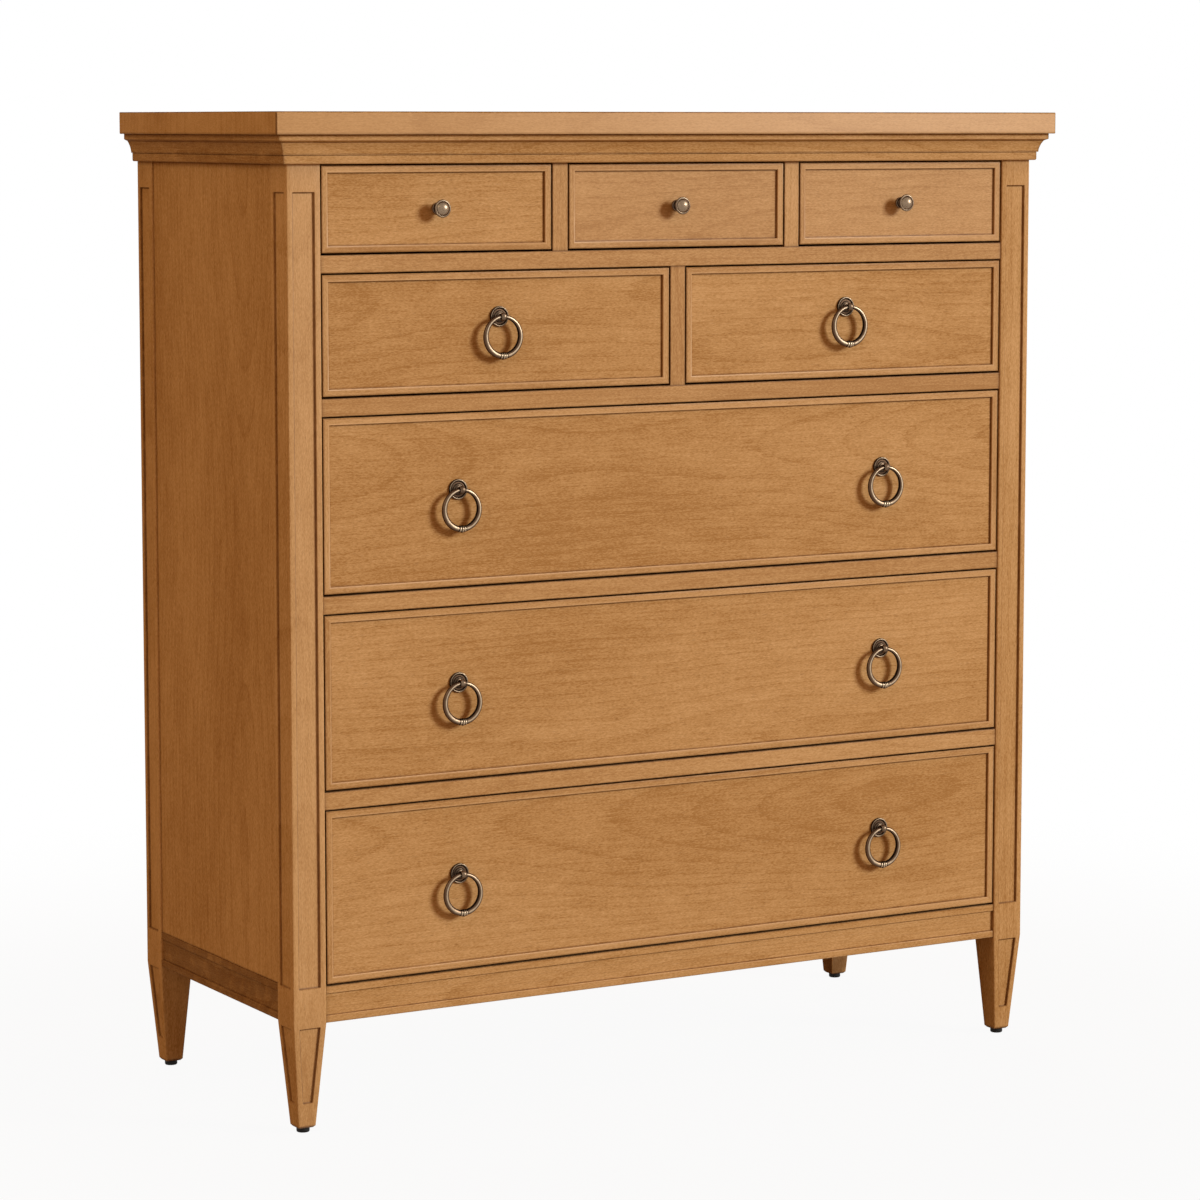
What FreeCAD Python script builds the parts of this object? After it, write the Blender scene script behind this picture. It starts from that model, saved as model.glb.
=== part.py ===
import FreeCAD, Part
import math
import os

# Tall chest of drawers, in millimetres. +Z is up, the drawers face -Y, and left and right are as
# seen from the front. The origin is on the floor, under the middle of the top board.

# Case, measured over the posts
case_width = 1203.0
case_depth = 487.0
post_size = 49.5

# Heights, from the floor up
foot_height = 151.0
apron_height = 50.0
deep_row_height = 240.0
middle_row_height = 166.0
top_row_height = 120.0
rail_height = 24.0

# Cornice and top
frieze_height = 12.0
frieze_reach = 7.0
frieze_round = 2.5
quirk_height = 1.2
quirk_reach = 9.0
cove_height = 15.3
cove_reach = 14.5
cove_hollow = 1.0
splay_height = 2.5
fillet_height = 7.5
fillet_reach = 19.5
top_thickness = 30.5
top_overhang = 27.0
top_ease = 2.5

# Posts and feet
recess_border = 9.0
recess_depth = 3.0
post_head = 37.0
foot_size = 26.0
foot_recess_drop = 5.0
foot_recess_length = 104.0
glide_height = 7.0
glide_radius = 9.0
glide_ease = 2.0
glide_stem_radius = 3.0
glide_stem_length = 18.0
stem_clearance = 0.25

# Rails, aprons and dividers
face_setback = 1.5
rail_depth = 60.0
board_thickness = 22.0
apron_bead = 10.0
apron_recess = 3.0
divider_width = 24.0
tenon_thickness = 10.0
tenon_width = 26.0
tenon_inset = 8.0
tenon_shoulder = 4.0
tenon_wall = 24.5

# Side and back panels
panel_setback = 3.0
panel_thickness = 14.0
panel_tongue = 8.0
tongue_shoulder = 4.5
back_thickness = 6.0
back_rebate = 10.0

# Web frames inside the case
runner_ledge = 16.0
guide_height = 30.0
dust_thickness = 5.0
glue_block = 30.0
stop_width = 30.0
stop_height = 20.0

# Drawers
drawer_gap = 2.0
slide_clearance = 1.5
front_thickness = 22.0
bead_width = 9.5
bead_ease = 1.6
field_depth = 3.5
side_thickness = 12.0
side_drop = 14.0
rear_space = 39.5
bottom_thickness = 6.0
bottom_lift = 10.0
bottom_groove = 6.0

# Knobs
knob_base_radius = 8.0
knob_base_height = 3.0
knob_neck_radius = 4.6
knob_neck_height = 9.5
knob_head_radius = 12.3
knob_rim_height = 14.5
knob_rim_width = 3.6
knob_dome_radius = 10.0
knob_length = 23.0
screw_radius = 2.0
screw_head_radius = 4.0
screw_head_height = 2.5
screw_reach = 8.0
screw_clearance = 0.25

# Ring pulls
deep_pull_inset = 255.0
deep_pull_rise = 14.5
middle_pull_rise = 20.0
rosette_radius = 14.0
rosette_edge = 2.0
rosette_rim = 1.2
rosette_rim_width = 2.6
rosette_boss_radius = 7.0
rosette_boss = 3.0
eye_standoff = 12.0
eye_radius = 5.5
neck_radius = 3.0
shoulder_radius = 4.6
shoulder_height = 1.2
stud_radius = 2.2
nut_radius = 4.6
nut_height = 3.5
nut_sides = 6
stud_end = 1.0
ring_radius = 26.6
ring_eye_wire = 2.5
ring_wire = 4.2
ring_clearance = 0.35
collar_side_bead = 4.8
collar_middle_bead = 5.4
collar_bead_width = 3.4
ring_steps = 20

# Small allowances
hole_clearance = 0.25
cut_margin = 5.0

Vector = FreeCAD.Vector
origin = Vector(0, 0, 0)
along_x = Vector(1, 0, 0)
along_y = Vector(0, 1, 0)
along_z = Vector(0, 0, 1)

# Places worked out from the sizes above
overall_depth = case_depth + top_overhang
left = -case_width / 2
right = case_width / 2
front = top_overhang - overall_depth / 2
back = overall_depth / 2
inner_left = left + post_size
inner_right = right - post_size
face = front + face_setback
field = face + field_depth
rail_back = face + rail_depth
case_back = back - back_thickness
rear_rail_front = case_back - rail_depth
drawer_rear = case_back - rear_space
apron_bottom = foot_height
apron_top = foot_height + apron_height
panel_inner = left + panel_setback + panel_thickness
apron_inner = left + face_setback + board_thickness

# Row floors and ceilings, from the top row down to the bottom row
row_heights = [top_row_height, middle_row_height, deep_row_height, deep_row_height, deep_row_height]
row_drawers = [3, 2, 1, 1, 1]
row_names = [["1_left", "1_centre", "1_right"], ["2_left", "2_right"], ["3"], ["4"], ["5"]]
bottom_row = len(row_heights) - 1


def row_floor(row):
    """Apron top, plus every lower row and the rail above it."""
    lower = row_heights[row + 1:]
    return apron_top + sum(lower) + rail_height * len(lower)


def row_ceiling(row):
    return row_floor(row) + row_heights[row]


def row_bays(row):
    """Left and right edge of each drawer opening in a row, between the posts and the dividers."""
    count = row_drawers[row]
    bay = (inner_right - inner_left - divider_width * (count - 1)) / count
    starts = [inner_left + number * (bay + divider_width) for number in range(count)]
    return [(start, start + bay) for start in starts]


frieze_bottom = row_ceiling(0)
frieze_top = frieze_bottom + frieze_height
cove_bottom = frieze_top + quirk_height
cove_top = cove_bottom + cove_height
fillet_bottom = cove_top + splay_height
top_underside = fillet_bottom + fillet_height
top_surface = top_underside + top_thickness


def block(x_range, y_range, z_range):
    """A board with square edges, between two values along each axis."""
    size = [high - low for low, high in (x_range, y_range, z_range)]
    return Part.makeBox(*size, Vector(x_range[0], y_range[0], z_range[0]))


def mirrored(shape):
    """The right-hand copy of a left-hand piece."""
    return shape.mirror(origin, along_x)


def polygon_wire(points):
    return Part.makePolygon(points + points[:1])


def rectangle_wire(x_range, y_range, z):
    corners = [(0, 0), (1, 0), (1, 1), (0, 1)]
    return polygon_wire([Vector(x_range[i], y_range[j], z) for i, j in corners])


def outline_edges(place, start, steps):
    """Edges from a start point on: a one-point step is a line, a two-point step an arc through
    its first point. The function place turns each flat point into a point in space."""
    edges = []
    here = start
    for step in steps:
        there = step[-1]
        if len(step) == 1:
            edges.append(Part.LineSegment(place(here), place(there)).toShape())
        else:
            edges.append(Part.Arc(place(here), place(step[0]), place(there)).toShape())
        here = there
    return edges


def outline_face(place, start, steps):
    return Part.Face(Part.Wire(outline_edges(place, start, steps + [(start,)])))


def turned(x, z, start, steps):
    """A turned piece: an outline of radius and distance out from the sunk field, spun on Y."""
    outline = outline_face(lambda point: Vector(x + point[0], field - point[1], z), start, steps)
    return outline.revolve(Vector(x, field, z), along_y, 360)


def rod(x, z, radius, y_range):
    """A round bar along Y."""
    return Part.makeCylinder(radius, y_range[1] - y_range[0], Vector(x, y_range[0], z), along_y)


def save(name, *solids):
    shape = solids[0] if len(solids) == 1 else Part.makeCompound(list(solids))
    shape.exportStep("parts/" + name + ".step")
    print(name, len(solids), "solids,", round(shape.Volume / 1000), "cm3")


# Top and cornice

def make_top_board():
    sides = (left - top_overhang, right + top_overhang)
    board = block(sides, (front - top_overhang, back), (top_underside, top_surface))
    return board.makeFillet(top_ease, board.Edges)


def cornice_steps():
    """Half section of the cornice, as reach from the case face and height."""
    drop = frieze_round * (1 - math.sqrt(0.5))
    rise = cove_top - cove_bottom
    run = cove_reach - quirk_reach
    chord = math.hypot(run, rise)
    middle = ((quirk_reach + cove_reach) / 2 - cove_hollow * rise / chord,
              (cove_bottom + cove_top) / 2 + cove_hollow * run / chord)
    return [
        ((frieze_reach - frieze_round, frieze_bottom),),
        ((frieze_reach - drop, frieze_bottom + drop), (frieze_reach, frieze_bottom + frieze_round)),
        ((frieze_reach, frieze_top),),
        ((quirk_reach, frieze_top),),
        ((quirk_reach, cove_bottom),),
        (middle, (cove_reach, cove_top)),
        ((fillet_reach, fillet_bottom),),
        ((fillet_reach, top_underside),),
        ((0, top_underside),),
    ]


def make_cornice_front():
    """The section run past both corners, then cut to a mitre at each."""
    start = (0, frieze_bottom)
    begin = left - top_overhang
    section = outline_face(lambda point: Vector(begin, front - point[0], point[1]), start, cornice_steps())
    run = section.extrude(along_x * (case_width + top_overhang * 2))
    plan = [(left, front), (right, front), (right + top_overhang, front - top_overhang),
            (left - top_overhang, front - top_overhang)]
    return run.common(plan_prism(plan))


def make_cornice_left():
    start = (0, frieze_bottom)
    begin = front - top_overhang
    section = outline_face(lambda point: Vector(left - point[0], begin, point[1]), start, cornice_steps())
    run = section.extrude(along_y * overall_depth)
    plan = [(left, front), (left - top_overhang, front - top_overhang),
            (left - top_overhang, back), (left, back)]
    return run.common(plan_prism(plan))


def plan_prism(plan):
    """A plan outline carried up through the height of the cornice."""
    low = frieze_bottom - cut_margin
    base = Part.Face(polygon_wire([Vector(x, y, low) for x, y in plan]))
    return base.extrude(along_z * (top_surface - low))


# Rails, aprons, panels and dividers

def tenon_length():
    return post_size - tenon_wall


def make_front_rail(row):
    """The rail under a row, with a tenon into each front post."""
    z_range = (row_floor(row) - rail_height, row_floor(row))
    rail = block((inner_left, inner_right), (face, rail_back), z_range)
    middle = row_floor(row) - rail_height / 2
    tenon = block((inner_left - tenon_length(), inner_right + tenon_length()),
                  (face + tenon_inset, face + tenon_inset + tenon_width),
                  (middle - tenon_thickness / 2, middle + tenon_thickness / 2))
    return rail.fuse(tenon).removeSplitter()


def tenon_band(low):
    """The middle part of a board's thickness, where its tenons are."""
    middle = low + board_thickness / 2
    return (middle - tenon_thickness / 2, middle + tenon_thickness / 2)


def make_front_apron():
    """Front apron with a sunk field between its top strip and its bottom bead."""
    apron = block((inner_left, inner_right), (face, face + board_thickness), (apron_bottom, apron_top))
    tenon = block((inner_left - tenon_length(), inner_right + tenon_length()), tenon_band(face),
                  (apron_bottom + tenon_shoulder, apron_top - panel_tongue - tenon_shoulder))
    sunk = block((inner_left, inner_right), (face - cut_margin, face + apron_recess),
                 (apron_bottom + apron_bead, apron_top - apron_bead))
    return apron.cut(sunk).fuse(tenon).removeSplitter()


def make_side_apron_left():
    low = left + face_setback
    y_range = (front + post_size, back - post_size)
    apron = block((low, low + board_thickness), y_range, (apron_bottom, apron_top))
    tenon = block(tenon_band(low), (y_range[0] - tenon_length(), y_range[1] + tenon_length()),
                  (apron_bottom + tenon_shoulder, apron_top - panel_tongue - tenon_shoulder))
    sunk = block((low - cut_margin, low + apron_recess), y_range,
                 (apron_bottom + apron_bead, apron_top - apron_bead))
    return apron.cut(sunk).fuse(tenon).removeSplitter().cut(make_side_panel_left())


def make_side_panel_left():
    """Flat panel with a shouldered tongue into the posts, the side apron and the side top rail."""
    outer = left + panel_setback
    panel = block((outer, panel_inner), (front + post_size, back - post_size), (apron_top, frieze_bottom))
    tongue = block((outer + tongue_shoulder, panel_inner),
                   (front + post_size - panel_tongue, back - post_size + panel_tongue),
                   (apron_top - panel_tongue, frieze_bottom + panel_tongue))
    return panel.fuse(tongue).removeSplitter()


def top_rail_heights():
    return (frieze_bottom + panel_tongue + tenon_shoulder, top_underside - tenon_shoulder)


def make_top_rail_front():
    z_range = (frieze_bottom, top_underside)
    rail = block((inner_left, inner_right), (front, front + board_thickness), z_range)
    tenon = block((inner_left - tenon_length(), inner_right + tenon_length()), tenon_band(front),
                  top_rail_heights())
    return rail.fuse(tenon).removeSplitter()


def make_top_rail_left():
    y_range = (front + post_size, back - post_size)
    rail = block((left, left + board_thickness), y_range, (frieze_bottom, top_underside))
    tenon = block(tenon_band(left), (y_range[0] - tenon_length(), y_range[1] + tenon_length()),
                  top_rail_heights())
    return rail.fuse(tenon).removeSplitter().cut(make_side_panel_left())


def make_top_rail_rear():
    return block((inner_left, inner_right), (case_back - board_thickness, case_back),
                 (frieze_bottom, top_underside))


def make_back_panel():
    return block((inner_left - back_rebate, inner_right + back_rebate), (case_back, back),
                 (apron_bottom, top_underside))


def make_dividers(row):
    """Uprights between the drawers of a row, from the rail below to the rail above."""
    ends = [high for low, high in row_bays(row)[:-1]]
    z_range = (row_floor(row), row_ceiling(row))
    return [block((end, end + divider_width), (face, rail_back), z_range) for end in ends]


# Posts, feet and glides

def post_inset(z):
    """How far a foot's faces stand in from the post's faces at a height, from the taper."""
    share = (apron_bottom - z) / (apron_bottom - glide_height)
    return share * (post_size - foot_size) / 2


def foot_recess(y_start, on_front):
    """The sunk part of a foot, which keeps the same border as the foot narrows."""
    high = apron_bottom - foot_recess_drop
    wires = []
    for z in (high - foot_recess_length, high):
        inset = post_inset(z)
        across = (inset + recess_border, post_size - inset - recess_border)
        inward = (inset - cut_margin, inset + recess_depth)
        x_local, y_local = (across, inward) if on_front else (inward, across)
        x_range = [left + value for value in x_local]
        y_range = [y_start + value for value in y_local]
        wires.append(rectangle_wire(x_range, y_range, z))
    return Part.makeLoft(wires, True, True)


def post_recess(y_start, on_front):
    """The long sunk strip of a post, with a plain border round it."""
    across = (recess_border, post_size - recess_border)
    inward = (-cut_margin, recess_depth)
    x_local, y_local = (across, inward) if on_front else (inward, across)
    x_range = [left + value for value in x_local]
    y_range = [y_start + value for value in y_local]
    return block(x_range, y_range, (apron_top, frieze_bottom - post_head))


def make_post_left(y_start, recessed_front, joined):
    """Square post with a tapered foot, sunk outer faces and a mortise for each joined piece."""
    upper = block((left, inner_left), (y_start, y_start + post_size), (apron_bottom, top_underside))
    wires = []
    for z in (glide_height, apron_bottom):
        inset = post_inset(z)
        x_range = (left + inset, inner_left - inset)
        wires.append(rectangle_wire(x_range, (y_start + inset, y_start + post_size - inset), z))
    post = upper.fuse(Part.makeLoft(wires, True, True)).removeSplitter()
    sides = [False, True] if recessed_front else [False]
    for on_front in sides:
        post = post.cut(post_recess(y_start, on_front)).cut(foot_recess(y_start, on_front))
    for piece in joined:
        post = post.cut(piece)
    centre = Vector(left + post_size / 2, y_start + post_size / 2, 0)
    bore = Part.makeCylinder(glide_stem_radius + stem_clearance, glide_height + glide_stem_length, centre)
    return post.cut(bore)


def make_glide(x, y):
    """Low round glide with a stem that goes up into the foot."""
    disc = Part.makeCylinder(glide_radius, glide_height, Vector(x, y, 0))
    rim = [edge for edge in disc.Edges if edge.BoundBox.ZMax < glide_height / 2]
    stem = Part.makeCylinder(glide_stem_radius, glide_height + glide_stem_length - stem_clearance,
                             Vector(x, y, 0))
    return disc.makeFillet(glide_ease, rim).fuse(stem).removeSplitter()


# Web frames: what the drawers run on inside the case

def runner_edges(row, outer):
    """Left and right edge of each runner of a row: one at each side and one behind each divider."""
    bays = row_bays(row)
    edges = [(outer, bays[0][0] + runner_ledge)]
    for before, after in zip(bays, bays[1:]):
        edges.append((before[1] - runner_ledge, after[0] + runner_ledge))
    edges.append((bays[-1][1] - runner_ledge, -outer))
    return edges


def runner_outer(row):
    """The bottom runners meet the side aprons, and the others meet the side panels."""
    return apron_inner if row == bottom_row else panel_inner


def make_runners():
    runners = []
    for row in range(len(row_heights)):
        z_range = (row_floor(row) - rail_height, row_floor(row))
        for edges in runner_edges(row, runner_outer(row)):
            runners.append(block(edges, (rail_back, rear_rail_front), z_range))
    for edges in runner_edges(0, left + board_thickness):
        runners.append(block(edges, (rail_back, rear_rail_front), (frieze_bottom, top_underside)))
    return runners


def make_guides():
    """Strips on the runners that keep the drawers square to the case."""
    guides = []
    for row in range(len(row_heights)):
        z_range = (row_floor(row), row_floor(row) + guide_height)
        bays = row_bays(row)
        gaps = [(panel_inner, bays[0][0])]
        gaps += [(before[1], after[0]) for before, after in zip(bays, bays[1:])]
        gaps.append((bays[-1][1], -panel_inner))
        guides += [block(gap, (rail_back, rear_rail_front), z_range) for gap in gaps]
    return guides


def make_web_frame_rails():
    """A rear rail at each row, and a front one behind the apron."""
    rails = []
    for row in range(len(row_heights)):
        z_range = (row_floor(row) - rail_height, row_floor(row))
        rails.append(block((inner_left, inner_right), (rear_rail_front, case_back), z_range))
    rails.append(block((inner_left, inner_right), (face + board_thickness, rail_back),
                       (apron_top - rail_height, apron_top)))
    return rails


def make_dust_panels():
    panels = []
    for row in range(len(row_heights)):
        middle = row_floor(row) - rail_height / 2
        z_range = (middle - dust_thickness / 2, middle + dust_thickness / 2)
        for low, high in row_bays(row):
            x_range = (low + runner_ledge, high - runner_ledge)
            panels.append(block(x_range, (rail_back, rear_rail_front), z_range))
    return panels


def make_stops():
    """Blocks behind each drawer that stop it with its front flush."""
    stops = []
    for row in range(len(row_heights)):
        z_range = (row_floor(row), row_floor(row) + stop_height)
        for low, high in row_bays(row):
            for start in (low + slide_clearance, high - slide_clearance - stop_width):
                stops.append(block((start, start + stop_width), (drawer_rear, case_back), z_range))
    return stops


def make_glue_blocks():
    """Square blocks in the corners between the aprons and the posts."""
    z_range = (apron_bottom + tenon_shoulder, apron_top - rail_height)
    x_range = (apron_inner, apron_inner + glue_block)
    starts = (front + post_size, back - post_size - glue_block)
    blocks = [block(x_range, (start, start + glue_block), z_range) for start in starts]
    return blocks + [mirrored(piece) for piece in blocks]


# Drawers

def make_drawer_front(bay, row, holes):
    """Inset front: a sunk field inside a raised bead with eased edges."""
    x_range = (bay[0] + drawer_gap, bay[1] - drawer_gap)
    z_range = (row_floor(row) + drawer_gap, row_ceiling(row) - drawer_gap)
    board = block(x_range, (face, face + front_thickness), z_range)
    inner_x = (x_range[0] + bead_width, x_range[1] - bead_width)
    inner_z = (z_range[0] + bead_width, z_range[1] - bead_width)
    board = board.cut(block(inner_x, (face - cut_margin, field), inner_z))
    edges = [edge for edge in board.Edges if edge.BoundBox.YMax < face + field_depth / 2]
    board = board.makeFillet(bead_ease, edges)
    board = board.cut(drawer_bottom(bay, row))
    for x, z, radius in holes:
        board = board.cut(rod(x, z, radius + hole_clearance, (face, face + front_thickness)))
    return board


def box_width(bay):
    return (bay[0] + slide_clearance, bay[1] - slide_clearance)


def drawer_bottom(bay, row):
    """Thin bottom, let into the sides and the front, which runs under the back."""
    low, high = box_width(bay)
    x_range = (low + side_thickness - bottom_groove, high - side_thickness + bottom_groove)
    z = row_floor(row) + bottom_lift
    return block(x_range, (face + front_thickness - bottom_groove, drawer_rear), (z, z + bottom_thickness))


def make_drawer_box(bay, row):
    """Left side, right side, back and bottom."""
    low, high = box_width(bay)
    y_range = (face + front_thickness, drawer_rear)
    z_range = (row_floor(row), row_ceiling(row) - side_drop)
    bottom = drawer_bottom(bay, row)
    sides = [block((low, low + side_thickness), y_range, z_range).cut(bottom),
             block((high - side_thickness, high), y_range, z_range).cut(bottom)]
    rear = block((low + side_thickness, high - side_thickness), (drawer_rear - side_thickness, drawer_rear),
                 (row_floor(row) + bottom_lift + bottom_thickness, z_range[1]))
    return sides + [rear, bottom]


# Knobs and ring pulls

def make_knob(x, z):
    """Turned knob: a base, a neck, and a domed head inside a rim bead."""
    rim_middle = knob_rim_height + knob_rim_width / 2
    rim_end = knob_rim_height + knob_rim_width
    dome_rise = knob_length - rim_end
    dome_curve = (knob_dome_radius ** 2 + dome_rise ** 2) / (2 * dome_rise)
    half_turn = math.asin(knob_dome_radius / dome_curve) / 2
    dome_middle = (dome_curve * math.sin(half_turn), knob_length - dome_curve * (1 - math.cos(half_turn)))
    knob = turned(x, z, (0, 0), [
        ((knob_base_radius, 0),),
        ((knob_base_radius, knob_base_height),),
        ((knob_neck_radius, knob_neck_height / 2), (knob_neck_radius, knob_neck_height)),
        ((knob_dome_radius, knob_rim_height),),
        ((knob_head_radius, rim_middle), (knob_dome_radius, rim_end)),
        (dome_middle, (0, knob_length)),
    ])
    inner = face + front_thickness
    bore = rod(x, z, screw_radius + screw_clearance, (field - screw_reach - screw_clearance, field))
    screw = rod(x, z, screw_radius, (field - screw_reach, inner + screw_head_height))
    head = rod(x, z, screw_head_radius, (inner, inner + screw_head_height))
    return [knob.cut(bore), screw.fuse(head).removeSplitter()]


def make_rosette(x, z):
    """Round plate with a raised rim, a shallow dish and a boss in the middle."""
    hole = neck_radius + hole_clearance
    rim_inner = rosette_radius - rosette_rim_width
    return turned(x, z, (hole, 0), [
        ((rosette_radius, 0),),
        ((rosette_radius, rosette_edge),),
        ((rosette_radius - rosette_rim_width / 2, rosette_edge + rosette_rim), (rim_inner, rosette_edge)),
        ((rosette_boss_radius, rosette_edge),),
        ((shoulder_radius, rosette_boss),),
        ((hole, rosette_boss),),
    ])


def eye_bore_radius():
    """Wide enough for the ring's wire, which bends and thickens a little across the eye."""
    half_angle = math.asin(eye_radius / ring_radius)
    sag = ring_radius * (1 - math.cos(half_angle))
    return ring_wire_radius(half_angle) + sag + ring_clearance


def make_eye_bolt(x, z):
    """Eye on a neck, with a shoulder on the rosette and a stud through the drawer front."""
    stud_depth = front_thickness - field_depth + nut_height + stud_end
    bolt = turned(x, z, (0, -stud_depth), [
        ((stud_radius, -stud_depth),),
        ((stud_radius, 0),),
        ((neck_radius, 0),),
        ((neck_radius, rosette_boss),),
        ((shoulder_radius, rosette_boss),),
        ((shoulder_radius, rosette_boss + shoulder_height),),
        ((neck_radius, rosette_boss + shoulder_height),),
        ((neck_radius, eye_standoff),),
        ((0, eye_standoff),),
    ])
    centre = Vector(x, field - eye_standoff, z)
    eye = bolt.fuse(Part.makeSphere(eye_radius, centre))
    bore_start = Vector(x - eye_radius, field - eye_standoff, z)
    bore = Part.makeCylinder(eye_bore_radius(), eye_radius * 2, bore_start, along_x)
    return eye.cut(bore)


def make_nut(x, z):
    """Six-sided nut on the stud, against the inside of the drawer front."""
    inner = face + front_thickness
    turns = [2 * math.pi * side / nut_sides for side in range(nut_sides)]
    corners = [(nut_radius * math.cos(turn), nut_radius * math.sin(turn)) for turn in turns]
    points = [Vector(x + across, inner, z + up) for across, up in corners]
    nut = Part.Face(polygon_wire(points)).extrude(along_y * nut_height)
    return nut.cut(rod(x, z, stud_radius + hole_clearance, (inner, inner + nut_height)))


def ring_wire_radius(angle):
    """Wire thickness round the ring: thin in the eye, full at the bottom."""
    return ring_eye_wire + (ring_wire - ring_eye_wire) * math.sin(angle / 2)


def ring_section(angle):
    circle = Part.Wire(Part.makeCircle(ring_wire_radius(angle), Vector(0, 0, ring_radius), along_x))
    circle.rotate(origin, along_y, math.degrees(angle))
    return circle


def make_ring(x, z):
    """Ring that hangs in the eye, with a collar of beads at its lowest point."""
    step = math.pi / ring_steps
    halves = []
    for start in (0, ring_steps):
        angles = [step * number for number in range(start, start + ring_steps + 1)]
        halves.append(Part.makeLoft([ring_section(angle) for angle in angles], True, True))
    ring = halves[0].fuse(halves[1])
    bead_radii = (collar_side_bead, collar_middle_bead, collar_side_bead)
    low = -collar_bead_width * len(bead_radii) / 2
    steps = [((low, ring_wire),)]
    for number, radius in enumerate(bead_radii):
        begin = low + number * collar_bead_width
        steps.append(((begin + collar_bead_width / 2, radius), (begin + collar_bead_width, ring_wire)))
    steps.append(((-low, 0),))
    section = outline_face(lambda point: Vector(point[0], 0, point[1] - ring_radius), (low, 0), steps)
    collar = section.revolve(Vector(0, 0, -ring_radius), along_x, 360)
    ring = ring.fuse(collar)
    ring.translate(Vector(x, field - eye_standoff, z - ring_radius))
    return ring


def pull_places(row):
    """Where the pulls are: at the middle of a small drawer, or set in from the sides of a wide one."""
    middle = (row_floor(row) + row_ceiling(row)) / 2
    bays = row_bays(row)
    if row == 0:
        return [[(sum(bay) / 2, middle)] for bay in bays]
    if len(bays) > 1:
        return [[(sum(bay) / 2, middle + middle_pull_rise)] for bay in bays]
    places = (left + deep_pull_inset, right - deep_pull_inset)
    return [[(x, middle + deep_pull_rise) for x in places]]


# Build and write every piece

os.makedirs("parts", exist_ok=True)

save("top_board", make_top_board())
save("cornice_front", make_cornice_front())
save("cornice_left", make_cornice_left())
save("cornice_right", mirrored(make_cornice_left()))

side_panel = make_side_panel_left()
side_apron = make_side_apron_left()
front_apron = make_front_apron()
top_rail_front = make_top_rail_front()
top_rail_left = make_top_rail_left()
front_rails = [make_front_rail(row) for row in range(bottom_row)]
back_panel = make_back_panel()

front_joints = front_rails + [front_apron, top_rail_front, side_apron, top_rail_left, side_panel]
rear_joints = [side_apron, top_rail_left, side_panel, back_panel]
post_front = make_post_left(front, True, front_joints)
post_rear = make_post_left(back - post_size, False, rear_joints)

save("post_front_left", post_front)
save("post_front_right", mirrored(post_front))
save("post_rear_left", post_rear)
save("post_rear_right", mirrored(post_rear))
save("side_panel_left", side_panel)
save("side_panel_right", mirrored(side_panel))
save("side_apron_left", side_apron)
save("side_apron_right", mirrored(side_apron))
save("front_apron", front_apron)
save("top_rails", top_rail_front, top_rail_left, mirrored(top_rail_left), make_top_rail_rear())
for row, rail in enumerate(front_rails):
    save("front_rail_" + str(row + 1), rail)
save("row_1_dividers", *make_dividers(0))
save("row_2_divider", *make_dividers(1))
save("back_panel", back_panel)

save("web_frame_rails", *make_web_frame_rails())
save("drawer_runners", *make_runners())
save("drawer_guides", *make_guides())
save("dust_panels", *make_dust_panels())
save("drawer_stops", *make_stops())
save("glue_blocks", *make_glue_blocks())

glide_x = left + post_size / 2
glide_ys = (front + post_size / 2, back - post_size / 2)
save("foot_glides", *[make_glide(x, y) for x in (glide_x, -glide_x) for y in glide_ys])

for row, names in enumerate(row_names):
    for name, bay, places in zip(names, row_bays(row), pull_places(row)):
        fixing_radius = screw_radius if row == 0 else stud_radius
        holes = [(x, z, fixing_radius) for x, z in places]
        save("drawer_front_" + name, make_drawer_front(bay, row, holes))
        save("drawer_box_" + name, *make_drawer_box(bay, row))
        if row == 0:
            save("knob_" + name, *make_knob(*places[0]))
            continue
        plates = []
        for x, z in places:
            plates += [make_rosette(x, z), make_eye_bolt(x, z), make_nut(x, z)]
        save("pull_plates_" + name, *plates)
        hands = [name] if len(places) == 1 else [name + "_left", name + "_right"]
        for hand, place in zip(hands, places):
            save("ring_" + hand, make_ring(*place))
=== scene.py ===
# %% [markdown]
# # A tall maple chest of drawers
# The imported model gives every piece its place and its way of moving. This lesson dresses it: each
# part that shows is worked out again as a surface with eased edges, and gets its wood, brass or
# plastic finish. All lengths are in metres, the drawers face -Y and Z is up.

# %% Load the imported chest
import math
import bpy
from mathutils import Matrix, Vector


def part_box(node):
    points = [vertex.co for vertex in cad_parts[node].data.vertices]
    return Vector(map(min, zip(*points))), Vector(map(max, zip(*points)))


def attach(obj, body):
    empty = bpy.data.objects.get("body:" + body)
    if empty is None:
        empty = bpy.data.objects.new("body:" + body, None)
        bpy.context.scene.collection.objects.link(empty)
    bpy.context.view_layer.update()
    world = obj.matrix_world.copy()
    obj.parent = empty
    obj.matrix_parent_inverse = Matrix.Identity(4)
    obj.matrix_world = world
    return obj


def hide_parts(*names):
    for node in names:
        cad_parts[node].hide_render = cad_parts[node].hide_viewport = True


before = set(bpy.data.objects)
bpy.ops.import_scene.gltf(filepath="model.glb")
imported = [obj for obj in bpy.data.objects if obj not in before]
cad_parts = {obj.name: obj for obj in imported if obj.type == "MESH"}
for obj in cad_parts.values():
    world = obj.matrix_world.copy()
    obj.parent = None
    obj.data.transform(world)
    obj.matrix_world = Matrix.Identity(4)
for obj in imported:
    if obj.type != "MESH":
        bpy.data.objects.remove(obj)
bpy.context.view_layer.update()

import zlib
from dataclasses import dataclass

import bmesh
import bpy
import numpy as np

# %% [markdown]
# ## Places taken from the model
# A joiner marks a new board from the one beside it. In the same way the corners of each piece come
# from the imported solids, and only the small mouldings, which no box can tell, are written as sizes.

# %% Places
MM = 0.001


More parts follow.
